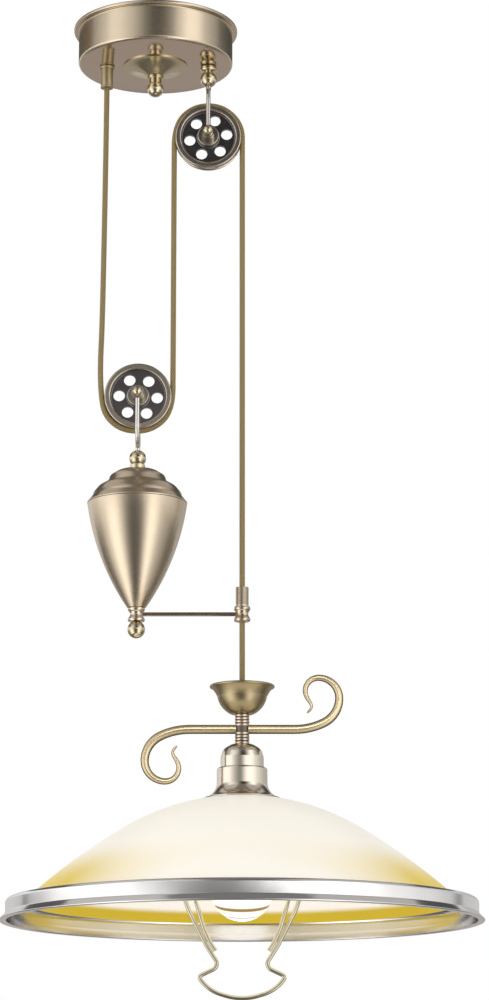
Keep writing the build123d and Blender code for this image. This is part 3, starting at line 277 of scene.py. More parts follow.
def makeWeight():
    spec = weightCase
    top, joint, tail, bore = spec["top"], spec["joint"], spec["tail"], spec["bore"]
    step, shoulder, flange = spec["step"], spec["shoulder"], spec["flange"]
    high, tier, inner = top - joint, top - spec["stepHeight"], flange - spec["flangeWidth"]
    ledgeOut, ledgeDrop = spec["stepLedge"]
    stepLine = [(step * across, top - high * down) for across, down in spec["stepCurve"]]
    shoulderLine = [(shoulder * across, top - high * down) for across, down in spec["shoulderCurve"]]
    corners = [(bore, top - spec["gap"]), *stepLine, (step, tier), (step + ledgeOut, tier - ledgeDrop),
               *shoulderLine, (shoulder, joint + spec["bevel"]), (flange, joint + spec["flangeEdge"]),
               (flange, joint), (inner, joint), (bore, top - spec["crownSheet"])]
    cap = rounded(corners, spec["capRounds"])
    start, end = (flange - spec["inset"], joint - spec["gap"]), (spec["tailRadius"], tail)
    middle = ((flange + spec["tailRadius"]) / 2 + spec["swell"], (joint + tail) / 2 - spec["swell"] / 2)
    side = arcThrough(start, middle, end, spec["sideSteps"])
    inside = [(bore, tail), (bore, tail + spec["sheet"])]
    shell = np.concatenate([[(inner, joint - spec["gap"])], side, inside])
    pieces = []
    for name, node, profile in (("weightCap", "counterweight_cap", cap),
                                ("weightShell", "counterweight_shell", shell)):
        piece = turnedPiece(name, profile, spec["axisX"])
        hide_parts(node)
        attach(piece, "counterweight_body")
        pieces.append(piece)
    return pieces


weightPieces = makeWeight()

# lamp cup: an ogee bowl of thin sheet with a bead for a lip; a bulge moves an arc's middle off its chord
lampBowl = {
    "lip": -0.6579, "depth": 0.0284, "radius": 0.0304, "foot": 0.0104, "sheet": 0.0009,
    "waistShare": 0.76, "flareShare": 0.4, "upperBulge": (-0.0009, -0.0002), "lowerBulge": (0.002, -0.0016),
    "hole": 0.0051, "bead": 0.0013, "beadShare": 0.98, "beadTip": 0.0002, "upperSteps": 40, "lowerSteps": 48,
}


# point halfway between two points, moved by a bulge
def midPoint(first, last, bulge):
    return tuple((one + other) / 2 + moved for one, other, moved in zip(first, last, bulge))


def makeLampBowl():
    spec = lampBowl
    half, bead = spec["sheet"] / 2, spec["bead"]
    lip = (spec["radius"], spec["lip"] - bead)
    waist = (spec["radius"] * spec["waistShare"], spec["lip"] - spec["depth"] * spec["flareShare"])
    foot = (spec["foot"], spec["lip"] - spec["depth"] + half)
    upper = arcThrough(lip, midPoint(lip, waist, spec["upperBulge"]), waist, spec["upperSteps"])
    lower = arcThrough(waist, midPoint(waist, foot, spec["lowerBulge"]), foot, spec["lowerSteps"])
    line = np.concatenate([upper, lower[1:], [(spec["hole"], foot[1])]])
    gone = np.linalg.norm(line - line[0], axis=1)
    roundLip = np.sqrt(np.clip(bead**2 - (gone - bead * spec["beadShare"]) ** 2, 0, None))
    thick = np.maximum(roundLip, np.where(gone > bead, half, spec["beadTip"]))
    piece = turnedPiece("lampBowl", sheetProfile(line, thick), lampAxis)
    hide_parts("lamp_cup")
    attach(piece, "lamp_body")
    return piece


bowlPiece = makeLampBowl()

# bell: a domed top, a wider waist and a flare that rests on the glass
bellHood = {
    "top": -0.7151, "foot": -0.7671, "dome": 0.0203, "domeHeight": 0.0224, "waist": 0.0237,
    "flange": 0.0362, "sheet": 0.0009, "hole": 0.0051, "crownShare": 0.52, "cheekShare": 0.9,
    "cheekDrop": 0.0046, "domeDrop": 0.012, "stepDrop": 0.0006, "draft": 0.0001, "flareShare": 0.28,
    "skirtBulge": (0.0029, 0.0072), "rounds": [0, 0.006, 0.008, 0.009, 0.0006, 0.0012, 0], "skirtSteps": 40,
}


def makeBell():
    spec = bellHood
    half, foot, draft = spec["sheet"] / 2, spec["foot"], spec["draft"]
    dome, waist, top = spec["dome"] - half, spec["waist"] - half, spec["top"] - half
    step = spec["top"] - spec["domeHeight"]
    flare = foot + (spec["top"] - foot) * spec["flareShare"]
    corners = [(spec["hole"], top), (dome * spec["crownShare"], top),
               (dome * spec["cheekShare"], top - spec["cheekDrop"]), (dome, top - spec["domeDrop"]),
               (dome + draft, step), (waist, step - spec["stepDrop"]), (waist + draft, flare)]
    crown = rounded(corners, spec["rounds"])
    middle = (waist + spec["skirtBulge"][0], foot + spec["skirtBulge"][1])
    end = (spec["flange"] - half, foot + spec["sheet"])
    skirt = arcThrough((waist + draft, flare), middle, end, spec["skirtSteps"])
    piece = turnedPiece("bellHood", sheetProfile(np.concatenate([crown, skirt[1:]]), half), lampAxis)
    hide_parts("bell_cap")
    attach(piece, "lamp_body")
    return piece


bellPiece = makeBell()

# glass shade: crown and skirt are arcs that run into each other, the inner face lies one thickness inside
glassDome = {
    "centre": -0.97903, "hole": 0.021, "crown": 0.215, "crownReach": 0.112, "skirt": 0.585,
    "edge": 0.2022, "innerEdge": 0.1996, "thickness": 0.0032, "arcSteps": 40, "turnSteps": 256,
}


# one face of the glass: both arcs have their radius less the depth, and share the tangent where they meet
def glassFace(depth, edgeRadius):
    spec = glassDome
    crownRadius, skirtRadius = spec["crown"] - depth, spec["skirt"] - depth
    bend = math.asin(spec["crownReach"] / spec["crown"])
    shift = spec["skirt"] - spec["crown"]
    edge = math.asin((edgeRadius + shift * math.sin(bend)) / skirtRadius)
    onCrown = np.linspace(math.asin(spec["hole"] / crownRadius), bend, spec["arcSteps"])
    onSkirt = np.linspace(bend, edge, spec["arcSteps"] + 1)[1:]
    crown = np.stack([crownRadius * np.sin(onCrown), spec["centre"] + crownRadius * np.cos(onCrown)], -1)
    skirt = np.stack([skirtRadius * np.sin(onSkirt) - shift * math.sin(bend),
                      spec["centre"] + skirtRadius * np.cos(onSkirt) - shift * math.cos(bend)], -1)
    return np.concatenate([crown, skirt])


def makeGlass():
    spec = glassDome
    outside, inside = glassFace(0.0, spec["edge"]), glassFace(spec["thickness"], spec["innerEdge"])
    profile = np.concatenate([outside, inside[::-1]])
    piece = turnedPiece("glassDome", profile, lampAxis, spec["turnSteps"])
    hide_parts("glass_shade")
    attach(piece, "lamp_body")
    tagFaces(piece, len(profile), len(outside) - 1, len(profile))
    return piece


glassPiece = makeGlass()

# metal rim on the skirt of the glass: a flat ledge, a wall, a flared lip and a hem folded up inside
shadeBand = {
    "ledge": 0.2006, "wall": 0.2195, "lipReach": 0.006, "height": 0.0195, "flare": 0.006,
    "corner": 0.0035, "hemRise": 0.0015, "hemRound": 0.0006, "sheet": 0.0005, "fold": 0.0002, "top": -0.86149,
    "roundSteps": 12, "turnSteps": 320,
}


def makeBand():
    spec = shadeBand
    half, top, low, hemRound = spec["sheet"] / 2, spec["top"], spec["top"] - spec["height"], spec["hemRound"]
    wall = spec["wall"] - half
    hem = wall - spec["sheet"] - spec["fold"]
    flare, lip = low + spec["flare"], spec["wall"] + spec["lipReach"]
    corners = [(spec["ledge"], top), (wall, top), (wall, flare), (lip, low), (hem, low),
               (hem, flare + spec["hemRise"])]
    line = rounded(corners, [0, spec["corner"], 2 * hemRound, hemRound, hemRound, 0], spec["roundSteps"])
    piece = turnedPiece("shadeBand", sheetProfile(line, half), lampAxis, spec["turnSteps"])
    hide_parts("shade_rim")
    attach(piece, "lamp_body")
    return piece


bandPiece = makeBand()

# scroll arms: a bar that thins into a curl with a flicked, flattened tip; the left arm is the right one
# turned half round. Each bend is degrees and a radius; thickAt and flatAt are shares of the arm's length
scrollArm = {
    "height": -0.7007, "start": 0.0058, "straight": 0.05, "steps": 420, "blur": 25, "sides": 28,
    "bends": [(26, 0.062), (64, 0.026), (90, 0.0195), (120, 0.0125), (6, 0.07), (-78, 0.0035), (-4, 0.07)],
    "thickAt": [0.0, 0.45, 0.62, 0.8, 0.93, 0.985, 1.0],
    "thick": [0.0043, 0.0043, 0.0037, 0.0027, 0.0019, 0.0015, 0.001],
    "flatAt": [0.0, 0.9, 0.97, 1.0],
    "flat": [1.0, 1.0, 1.35, 1.35],
}


# an arm's line is the sum of small steps along its heading, which the bends turn one after the other;
# the heading is blurred a little, so that the bends run into each other
def makeScrolls():
    spec = scrollArm
    turns, radii = np.array(spec["bends"]).T
    turns = np.radians(turns)
    bar = spec["straight"] - spec["start"]
    knots = np.concatenate([[0.0, bar], bar + np.cumsum(np.abs(turns) * radii)])
    headings = np.concatenate([[0.0, 0.0], np.cumsum(turns)])
    along = np.linspace(0, knots[-1], spec["steps"])
    kernel = np.hanning(spec["blur"])
    padded = np.pad(np.interp(along, knots, headings), spec["blur"] // 2, mode="edge")
    heading = np.convolve(padded, kernel / kernel.sum(), mode="valid")
    step = np.diff(along, prepend=0.0)
    reach = spec["start"] + np.cumsum(np.cos(heading) * step)
    rise = np.cumsum(np.sin(heading) * step)
    share = along / along[-1]
    thick = np.interp(share, spec["thickAt"], spec["thick"])
    flat = np.interp(share, spec["flatAt"], spec["flat"])
    pieces = []
    for name, node, way in (("scrollRight", "scroll_right", 1.0), ("scrollLeft", "scroll_left", -1.0)):
        path = np.stack([lampAxis + way * reach, np.zeros_like(reach), spec["height"] + way * rise], -1)
        piece = wirePiece(name, path, thick, spec["sides"], flat)
        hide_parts(node)
        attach(piece, "lamp_body")
        pieces.append(piece)
    return pieces


scrollPieces = makeScrolls()
print("pieces made")


# input of a node: a socket is linked to it, any other value is set, and a colour is made opaque
def feed(tree, target, value):
    if isinstance(value, bpy.types.NodeSocket):
        tree.links.new(value, target)
    else:
        target.default_value = (*value, 1.0) if target.type == "RGBA" else value


# new node in a tree: names with a capital are inputs, the others are the node's own settings
def addNode(tree, kind, **values):
    added = tree.nodes.new("ShaderNode" + kind)
    for key, value in values.items():
        if key[0].isupper():
            feed(tree, added.inputs[key.replace("_", " ")], value)
        else:
            setattr(added, key, value)
    return added


# arithmetic on one to three values or sockets, in the order of the node's inputs
def calc(tree, operation, *values, **settings):
    added = addNode(tree, "Math", operation=operation, **settings)
    for target, value in zip(added.inputs, values):
        feed(tree, target, value)
    return added.outputs[0]


# value moved from the range start to end to the range low to high, and held inside it
def remap(tree, value, start=0.0, end=1.0, low=0.0, high=1.0, **settings):
    ranges = {"From_Min": start, "From_Max": end, "To_Min": low, "To_Max": high}
    return addNode(tree, "MapRange", Value=value, **ranges, **settings).outputs["Result"]


mixSockets = {"inputs": (0, 6, 7), "result": 2}  # numbers of the sockets that a mix of colours uses


# colour from first to second by a share, or first times second with blend MULTIPLY
def mixColours(tree, share, first, second, blend="MIX"):
    added = addNode(tree, "Mix", data_type="RGBA", blend_type=blend)
    for number, value in zip(mixSockets["inputs"], (share, first, second)):
        feed(tree, added.inputs[number], value)
    return added.outputs[mixSockets["result"]]


# cloudy value between 0 and 1 at each place
def noise(tree, place, scale, detail, roughness=0.5):
    added = addNode(tree, "TexNoise", Vector=place, Scale=scale, Detail=detail, Roughness=roughness)
    return added.outputs["Fac"]


# normal that leans with the slope of a height
def bumpNormal(tree, height, strength, depth):
    return addNode(tree, "Bump", Height=height, Strength=strength, Distance=depth).outputs["Normal"]


# ramp of colours: a new ramp has its first and last stop already, the others are added between them
def colourRamp(tree, value, shades, interpolation="LINEAR"):
    added = addNode(tree, "ValToRGB", Fac=value)
    added.color_ramp.interpolation = interpolation
    stops = added.color_ramp.elements
    for stop, (spot, shade) in ((stops[0], shades[0]), (stops[1], shades[-1])):
        stop.position, stop.color = spot, (*shade, 1.0)
    for spot, shade in shades[1:-1]:
        stops.new(spot).color = (*shade, 1.0)
    return added.outputs["Color"]


# material with its node tree, its Principled shader and the coordinates of the piece
class Finish:
    def __init__(self, name):
        self.material = bpy.data.materials.new(name)
        self.material.use_nodes = True
        self.tree = self.material.node_tree
        self.shader = self.tree.nodes["Principled BSDF"]
        self.place = addNode(self.tree, "TexCoord").outputs

    # values or sockets into the shader's inputs
    def shade(self, **values):
        for key, value in values.items():
            feed(self.tree, self.shader.inputs[key.replace("_", " ")], value)


# distance from an axis: the axis is moved to 0, its direction is scaled away, and the length is taken
def distanceFrom(finish, axisPoint, flatten):
    moved = addNode(finish.tree, "Mapping", Vector=finish.place["Object"], Scale=flatten,
                    Location=[-value for value in axisPoint])
    far = addNode(finish.tree, "VectorMath", operation="LENGTH", Vector=moved.outputs["Vector"])
    return far.outputs["Value"]


# new node group, with a kind of socket for each of its inputs and outputs
def newGroup(name, inputs, outputs):
    group = bpy.data.node_groups.new(name, "ShaderNodeTree")
    for way, sockets in (("INPUT", inputs), ("OUTPUT", outputs)):
        for label, kind in sockets.items():
            group.interface.new_socket(label, in_out=way, socket_type="NodeSocket" + kind)
    return group, group.nodes.new("NodeGroupInput").outputs, group.nodes.new("NodeGroupOutput").inputs


# scale, detail and roughness of the two noises of the brushed lines, and their shares in the shade
brushedLines = {"fine": (1.0, 3.0, 0.6), "coarse": (0.23, 2.0, 0.5), "fineShare": 0.55, "coarseShare": 0.45}


# group: brushed lines. Two noises of the stretched coordinate, fine and coarse, give a shade and a height
def makeBrushGroup():
    spec = brushedLines
    group, given, out = newGroup("brushedLines", {"Vector": "Vector"}, {"Shade": "Float", "Height": "Float"})
    fine = noise(group, given["Vector"], *spec["fine"])
    coarse = noise(group, given["Vector"], *spec["coarse"])
    finePart = calc(group, "MULTIPLY", fine, spec["fineShare"])
    feed(group, out["Shade"], calc(group, "MULTIPLY_ADD", coarse, spec["coarseShare"], finePart))
    feed(group, out["Height"], fine)
    return group


# tarnish: scale, detail and roughness of its noise, and the range that is kept of it
tarnishPatches = {"scale": 30.0, "detail": 5.0, "rough": 0.62, "kept": (0.38, 0.68)}


# group: tarnish. A cloudy noise in object space, pushed to soft patches between 0 and 1
def makeTarnishGroup():
    spec = tarnishPatches
    group, given, out = newGroup("tarnish", {"Vector": "Vector", "Scale": "Float"}, {"Mask": "Float"})
    cloud = noise(group, given["Vector"], given["Scale"], spec["detail"], spec["rough"])
    feed(group, out["Mask"], remap(group, cloud, *spec["kept"]))
    return group


brushGroup, tarnishGroup = makeBrushGroup(), makeTarnishGroup()

# what a finish has unless it says otherwise: stretch is of the brushed lines, bump their strength,
# and tarnish the share of the light tone that it takes away
plainFinish = {
    "coords": "Object", "stretch": (90, 90, 2400), "bump": 0.03, "bumpDepth": 0.0004, "tarnish": 0.2,
    "metallic": 1.0, "shadeRange": (0.35, 0.65), "roughRange": (0.3, 0.7), "patinaRough": 0.5,
}


# finish by its dark and light tone, its roughness from and to, and what differs from the plain one
def tone(dark, light, rough, **more):
    return plainFinish | {"dark": dark, "light": light, "rough": rough} | more


finishes = {
    "antiqueBrass": tone((0.5, 0.41, 0.295), (0.66, 0.56, 0.425), (0.19, 0.26), coords="UV",
                         stretch=(3, 7000, 1), tarnish=0.15),
    "canopyPlate": tone((0.52, 0.42, 0.33), (0.62, 0.51, 0.41), (0.09, 0.13), stretch=(500, 500, 500),
                        bump=0.02, tarnish=0.12),
    "cupBrass": tone((0.29, 0.23, 0.125), (0.45, 0.37, 0.22), (0.26, 0.34), coords="UV",
                     stretch=(3, 5000, 1), bump=0.12),
    "brassFittings": tone((0.48, 0.4, 0.25), (0.7, 0.62, 0.44), (0.1, 0.17), tarnish=0.25),
    "rosetteBrass": tone((0.54, 0.45, 0.29), (0.66, 0.57, 0.39), (0.2, 0.26), stretch=(300, 300, 900),
                         bump=0.015, tarnish=0.15),
    "matteTube": tone((0.36, 0.3, 0.17), (0.54, 0.46, 0.29), (0.4, 0.5), stretch=(300, 300, 900),
                      bump=0.05, tarnish=0.25),
    "collarBronze": tone((0.5, 0.42, 0.32), (0.72, 0.63, 0.52), (0.1, 0.16)),
    "armBronze": tone((0.24, 0.19, 0.145), (0.4, 0.33, 0.265), (0.16, 0.24), stretch=(900, 90, 90),
                      tarnish=0.25),
    "neckBronze": tone((0.5, 0.4, 0.32), (0.76, 0.65, 0.55), (0.14, 0.2),
                       patina={"by": "radius", "from": 0.0061, "to": 0.0068, "tone": 0.16}),
    "sleeveBronze": tone((0.47, 0.38, 0.27), (0.68, 0.58, 0.44), (0.1, 0.16),
                         patina={"by": "height", "from": -0.5815, "to": -0.5825, "tone": 0.62}),
    # scroll arms: the crest mark is painted shade, darker on the wire's edges in the upright plane, clear on
    # its front and back crest
    "scrollBrass": tone((0.66, 0.53, 0.32), (0.84, 0.7, 0.45), (0.29, 0.33), coords="UV", stretch=(60, 5, 1),
                        bump=0.012, tarnish=0.05, edgeTint=(0.25, 0.2, 0.12),
                        patina={"by": "crest", "from": 0.4, "to": 0.97, "tone": 0.13}),
    "rimNickel": tone((0.72, 0.71, 0.71), (0.82, 0.815, 0.82), (0.1, 0.15), coords="UV",
                      stretch=(5, 9000, 1), bump=0.015, tarnish=0.08),
    "yokeNickel": tone((0.56, 0.53, 0.5), (0.78, 0.76, 0.73), (0.12, 0.2), stretch=(90, 90, 1500)),
    "bellNickel": tone((0.58, 0.51, 0.42), (0.74, 0.68, 0.59), (0.12, 0.18), coords="UV",
                       stretch=(3, 6000, 1), bump=0.06, tarnish=0.12),
    "handleWire": tone((0.44, 0.4, 0.28), (0.68, 0.64, 0.5), (0.1, 0.18), stretch=(300, 300, 300)),
    "zincSteel": tone((0.42, 0.42, 0.42), (0.62, 0.62, 0.61), (0.3, 0.45), stretch=(400, 400, 90),
                      bump=0.1, tarnish=0.3),
    "castIron": tone((0.1, 0.1, 0.1), (0.18, 0.18, 0.175), (0.55, 0.75), stretch=(500, 500, 500),
                     bump=0.3, tarnish=0.3),
    "blackPhenolic": tone((0.018, 0.016, 0.014), (0.035, 0.032, 0.03), (0.22, 0.34),
                          stretch=(350, 350, 350), bump=0.05, metallic=0.0),
    "whiteNylon": tone((0.7, 0.69, 0.65), (0.8, 0.79, 0.76), (0.4, 0.52), stretch=(350, 350, 350),
                       bump=0.05, metallic=0.0),
    "bareAluminium": tone((0.55, 0.55, 0.55), (0.74, 0.74, 0.73), (0.25, 0.38), stretch=(90, 90, 1500),
                          bump=0.08),
}
finishes["weightBrass"] = finishes["antiqueBrass"] | {"bump": 0.1}


# patina and painted shade: dark in the grooves and above a height, which is patina, and off the wire's crest,
# which is painted shade on the wire's edges in the upright plane; clear beyond. The distance from the axis,
# the height or the size of the sine of the angle round the wire is moved to the range tone to 1
def patinaShade(finish, spec):
    tree = finish.tree
    if spec["by"] == "radius":
        source = distanceFrom(finish, (lampAxis, 0.0, 0.0), (1.0, 1.0, 0.0))
    elif spec["by"] == "height":
        source = addNode(tree, "SeparateXYZ", Vector=finish.place["Object"]).outputs["Z"]
    else:
        around = addNode(tree, "SeparateXYZ", Vector=finish.place["UV"]).outputs["X"]
        source = calc(tree, "ABSOLUTE", calc(tree, "SINE", calc(tree, "MULTIPLY", around, fullTurn)))
    return remap(tree, source, spec["from"], spec["to"], spec["tone"], 1.0)


# tarnish of a piece: the larger the scale, the smaller its patches
def tarnishMask(finish, scale):
    cloud = addNode(finish.tree, "Group", node_tree=tarnishGroup, Vector=finish.place["Object"], Scale=scale)
    return cloud.outputs["Mask"]


# metal or plastic: the lines move the tone from dark to light, less where it is tarnished, and set the
# roughness and the bump; patina and painted shade multiply the tone and add roughness
def makeFinish(name):
    spec = finishes[name]
    finish = Finish(name)
    tree = finish.tree
    stretched = addNode(tree, "Mapping", Vector=finish.place[spec["coords"]], Scale=spec["stretch"])
    lines = addNode(tree, "Group", node_tree=brushGroup, Vector=stretched.outputs["Vector"]).outputs
    cloud = tarnishMask(finish, tarnishPatches["scale"])
    spread = remap(tree, lines["Shade"], *spec["shadeRange"], 1.0 - spec["tarnish"], 1.0)
    share = calc(tree, "MULTIPLY_ADD", cloud, -spec["tarnish"], spread, use_clamp=True)
    colour = mixColours(tree, share, spec["dark"], spec["light"])
    matte = remap(tree, lines["Shade"], *spec["roughRange"], *spec["rough"])
    if "patina" in spec:
        clear = patinaShade(finish, spec["patina"])
        colour = mixColours(tree, 1.0, colour, clear, "MULTIPLY")
        matte = calc(tree, "ADD", matte, remap(tree, clear, low=spec["patinaRough"], high=0.0))
    normal = bumpNormal(tree, lines["Height"], spec["bump"], spec["bumpDepth"])
    finish.shade(Base_Color=colour, Roughness=matte, Metallic=spec["metallic"], Normal=normal)
    if "edgeTint" in spec:
        finish.shade(Specular_Tint=spec["edgeTint"])
    return finish.material


metals = {name: makeFinish(name) for name in finishes}
print("metal and plastic finishes made")

# pulley: dark web, lighter worn rim and hub; the edges of hub and rim are shares of the farthest distance
pulleyTone = {
    "web": (0.21, 0.192, 0.195), "hub": (0.46, 0.41, 0.36), "rim": (0.56, 0.5, 0.42),
    "hubRadius": 0.0106, "rimRadius": 0.0262, "farthest": 0.04, "hubEdge": 0.01, "rimEdge": 0.012,
    "worn": (0.8, 0.77, 0.72), "wearShare": 0.4, "wearScale": 160.0, "rough": (0.14, 0.22),
    "grain": (900.0, 3.0), "bump": 0.04, "bumpDepth": 0.0003, "metallic": 0.9,
}


# the distance from the axle, as a share of the farthest, picks hub, web or rim from a ramp
def makePulleyFinish(name, axle):
    spec = pulleyTone
    finish = Finish(name)
    tree = finish.tree
    far = distanceFrom(finish, (axle[0], 0.0, axle[1]), (1.0, 0.0, 1.0))
    hubEnd, rimStart = spec["hubRadius"] / spec["farthest"], spec["rimRadius"] / spec["farthest"]
    rings = [(hubEnd, spec["hub"]), (hubEnd + spec["hubEdge"], spec["web"]), (rimStart, spec["web"]),
             (rimStart + spec["rimEdge"], spec["rim"])]
    metal = colourRamp(tree, remap(tree, far, 0.0, spec["farthest"]), rings)
    cloud = tarnishMask(finish, spec["wearScale"])
    wear = calc(tree, "MULTIPLY", cloud, spec["wearShare"])
    colour = mixColours(tree, wear, metal, spec["worn"], "MULTIPLY")
    matte = remap(tree, cloud, 0.0, 1.0, *spec["rough"])
    grain = noise(tree, finish.place["Object"], *spec["grain"])
    normal = bumpNormal(tree, grain, spec["bump"], spec["bumpDepth"])
    finish.shade(Base_Color=colour, Roughness=matte, Metallic=spec["metallic"], Normal=normal)
    return finish.material


# braid: two families of strands wind round the cord, one each way; the higher of the two sines shows on top
braidTone = {
    "low": (0.12, 0.08, 0.022), "high": (0.44, 0.31, 0.105), "strands": 8.0, "perMetre": 260.0,
    "fibre": (2400.0, 2.0), "fibreShare": 0.5, "shadeRange": (-0.45, 1.0), "bump": 0.6, "bumpDepth": 0.0004,
    "rough": 0.42, "sheen": 0.3,
}


def makeBraid():
    spec = braidTone
    finish = Finish("cordBraid")
    tree = finish.tree
    parts = addNode(tree, "SeparateXYZ", Vector=finish.place["UV"]).outputs
    around = calc(tree, "MULTIPLY", parts["X"], spec["strands"] * fullTurn)
    waves = []
    for way in (1.0, -1.0):
        wind = calc(tree, "MULTIPLY_ADD", parts["Y"], way * spec["perMetre"] * fullTurn, around)
        waves.append(calc(tree, "SINE", wind))
    top = calc(tree, "MAXIMUM", *waves)
    fibre = noise(tree, finish.place["Object"], *spec["fibre"])
    shade = remap(tree, calc(tree, "MULTIPLY_ADD", fibre, spec["fibreShare"], top), *spec["shadeRange"])
    colour = mixColours(tree, shade, spec["low"], spec["high"])
    normal = bumpNormal(tree, top, spec["bump"], spec["bumpDepth"])
    finish.shade(Base_Color=colour, Roughness=spec["rough"], Sheen_Weight=spec["sheen"], Normal=normal)
    return finish.material


# opal glass: cream at the crown and amber towards the edge; the cream crown is partly the glass's tone and
# partly painted light of the lamp inside.
# The glass's emission is a painted glow in place of the lamp's light shining through it.
# Seen at a slant the glass is thicker and its amber deeper, so the outer face mixes it in by Layer Weight
glassTone = {
    "cream": (0.925, 0.88, 0.79), "amber": (0.74, 0.56, 0.115), "deepAmber": (0.6, 0.43, 0.031),
    "outerRing": (0.14, 0.195), "innerRing": (0.185, 0.1915), "slantBlend": 0.5, "slant": (0.46, 0.72),
    "swirl": (14.0, 4.0, 0.55), "swirlRange": (0.3, 0.7), "veil": (0.97, 1.0),
    "glow": 0.42, "paintedGlowInside": 0.54, "rough": 0.35, "specular": 0.15, "index": 1.5,
}


# the distance from the axis, between the two radii of a ring, moves the tone from cream to amber
def makeGlassFinish(name, inside):
    spec = glassTone
    finish = Finish(name)
    tree = finish.tree
    ring, edgeTone, glow = (spec[key] for key in (
        ("innerRing", "deepAmber", "paintedGlowInside") if inside else ("outerRing", "amber", "glow")))
    far = distanceFrom(finish, (lampAxis, 0.0, 0.0), (1.0, 1.0, 0.0))
    share = remap(tree, far, *ring, interpolation_type="SMOOTHSTEP")
    if not inside:
        slant = addNode(tree, "LayerWeight", Blend=spec["slantBlend"]).outputs["Facing"]
        share = calc(tree, "MULTIPLY", remap(tree, slant, *spec["slant"]), share)
    colour = mixColours(tree, share, spec["cream"], edgeTone)
    swirl = noise(tree, finish.place["Object"], *spec["swirl"])
    veil = remap(tree, swirl, *spec["swirlRange"], *spec["veil"])
    cloudy = mixColours(tree, 1.0, colour, veil, "MULTIPLY")
    # emission: painted glow, stronger on the inner face, standing in for the lamp's light through the glass
    finish.shade(Base_Color=cloudy, Emission_Color=cloudy, Emission_Strength=glow, Roughness=spec["rough"],
                 IOR=spec["index"], Specular_IOR_Level=spec["specular"])
    return finish.material


# bulb: lit glass; two lines near its foot are painted, a dark and an amber line in place of the far edges
# that show through the glass.
# They are told by the height along the bulb's own axis, which leans a little towards the front
bulbTone = {
    "bright": (0.97, 0.945, 0.89), "paintedDarkLine": (0.2, 0.19, 0.17), "paintedAmberLine": (0.26, 0.17, 0.045),
    "centre": (0.086, 0.0, -0.8515), "radius": 0.029, "lean": -18.0, "glow": 0.9, "rough": 0.12,
    "frost": (700.0, 3.0), "veil": (0.95, 1.0),
    "lines": [(0.0, "bright"), (0.102, "bright"), (0.118, "paintedDarkLine"), (0.134, "bright"), (0.225, "bright"),
              (0.25, "paintedAmberLine"), (0.285, "paintedAmberLine"), (0.315, "bright"), (1.0, "bright")],
}


def makeBulbFinish():
    spec = bulbTone
    finish = Finish("bulbLit")
    tree = finish.tree
    centred = addNode(tree, "VectorMath", operation="SUBTRACT", Vector=finish.place["Object"])
    centred.inputs[1].default_value = spec["centre"]
    leaning = addNode(tree, "Mapping", Vector=centred.outputs["Vector"],
                      Rotation=(math.radians(spec["lean"]), 0.0, 0.0))
    height = addNode(tree, "SeparateXYZ", Vector=leaning.outputs["Vector"]).outputs["Z"]
    shades = [(spot, spec[shade]) for spot, shade in spec["lines"]]
    lines = colourRamp(tree, remap(tree, height, -spec["radius"], spec["radius"]), shades)
    frost = noise(tree, finish.place["Object"], *spec["frost"])
    colour = mixColours(tree, 1.0, lines, remap(tree, frost, 0.0, 1.0, *spec["veil"]), "MULTIPLY")
    finish.shade(Base_Color=colour, Emission_Color=colour, Emission_Strength=spec["glow"],
                 Roughness=spec["rough"])
    return finish.material


braid = makeBraid()
bulbLit = makeBulbFinish()
pulleyAxles = {"upper": (0.0525, -0.1125), "lower": (-0.0145, -0.377)}  # x and height of each axle
pulleyFinish = {f"{side}_pulley": makePulleyFinish(f"{side}PulleyBronze", axle)
                for side, axle in pulleyAxles.items()}
glassFinish = [makeGlassFinish("opalGlassOutside", False), makeGlassFinish("opalGlassInside", True)]

# the carried-over nodes that each finish goes on
nodeFinish = {
    "rosetteBrass": ["rosette_washer"],
    "brassFittings": ["finial_nut", "hanger_ball", "counterweight_ball", "counterweight_finial", "cord_grip",
                      "holder_contact", "upper_pulley_bush", "lower_pulley_bush", "upper_axle_caps",
                      "lower_axle_caps", "upper_axle_spacers", "lower_axle_spacers"],
    "matteTube": ["cord_gland"],
    "collarBronze": ["counterweight_collar"],
    "sleeveBronze": ["guide_sleeve"],
    "armBronze": ["guide_arm"],
    "neckBronze": ["lamp_neck"],
    "yokeNickel": ["upper_yoke", "lower_yoke"],
    "handleWire": ["handle_ring", "pull_handle", "handle_struts"],
    "zincSteel": ["ceiling_bracket", "bracket_stud", "stud_nut", "gland_nut", "hanger_nut", "terminal_screws",
                  "upper_axle", "lower_axle", "tie_rod", "grip_screw"],
    "castIron": ["counterweight_core"],
    "blackPhenolic": ["holder_cap", "holder_body", "shade_ring", "canopy_lead", "lamp_lead"],
    "whiteNylon": ["terminal_block", "guide_bush"],
    "bareAluminium": ["bulb_base"],
}


# materials are added one by one: clearing the list first would put every face back in slot 0
def dress(piece, *materials):
    for material in materials:
        piece.data.materials.append(material)


# carried-over node: every slot that it has takes the material, and a node without slots gets one
def dressNode(name, material):
    if not nodes[name].material_slots:
        dress(nodes[name], material)
    for slot in nodes[name].material_slots:
        slot.material = material


for finishName, names in nodeFinish.items():
    for nodeName in names:
        dressNode(nodeName, metals[finishName])
for nodeName, material in pulleyFinish.items():
    dressNode(nodeName, material)
for nodeName in ("bulb_globe", "bulb_stem"):
    dressNode(nodeName, bulbLit)
for piece in (weightCord, lampCord):
    dress(piece, braid)
for piece in weightPieces:
    dress(piece, metals["weightBrass"])
for piece in scrollPieces:
    dress(piece, metals["scrollBrass"])
dress(canopyPiece, metals["antiqueBrass"], metals["canopyPlate"])
dress(bowlPiece, metals["cupBrass"])
dress(bellPiece, metals["bellNickel"])
dress(glassPiece, *glassFinish)
dress(bandPiece, metals["rimNickel"])
print("finishes on")

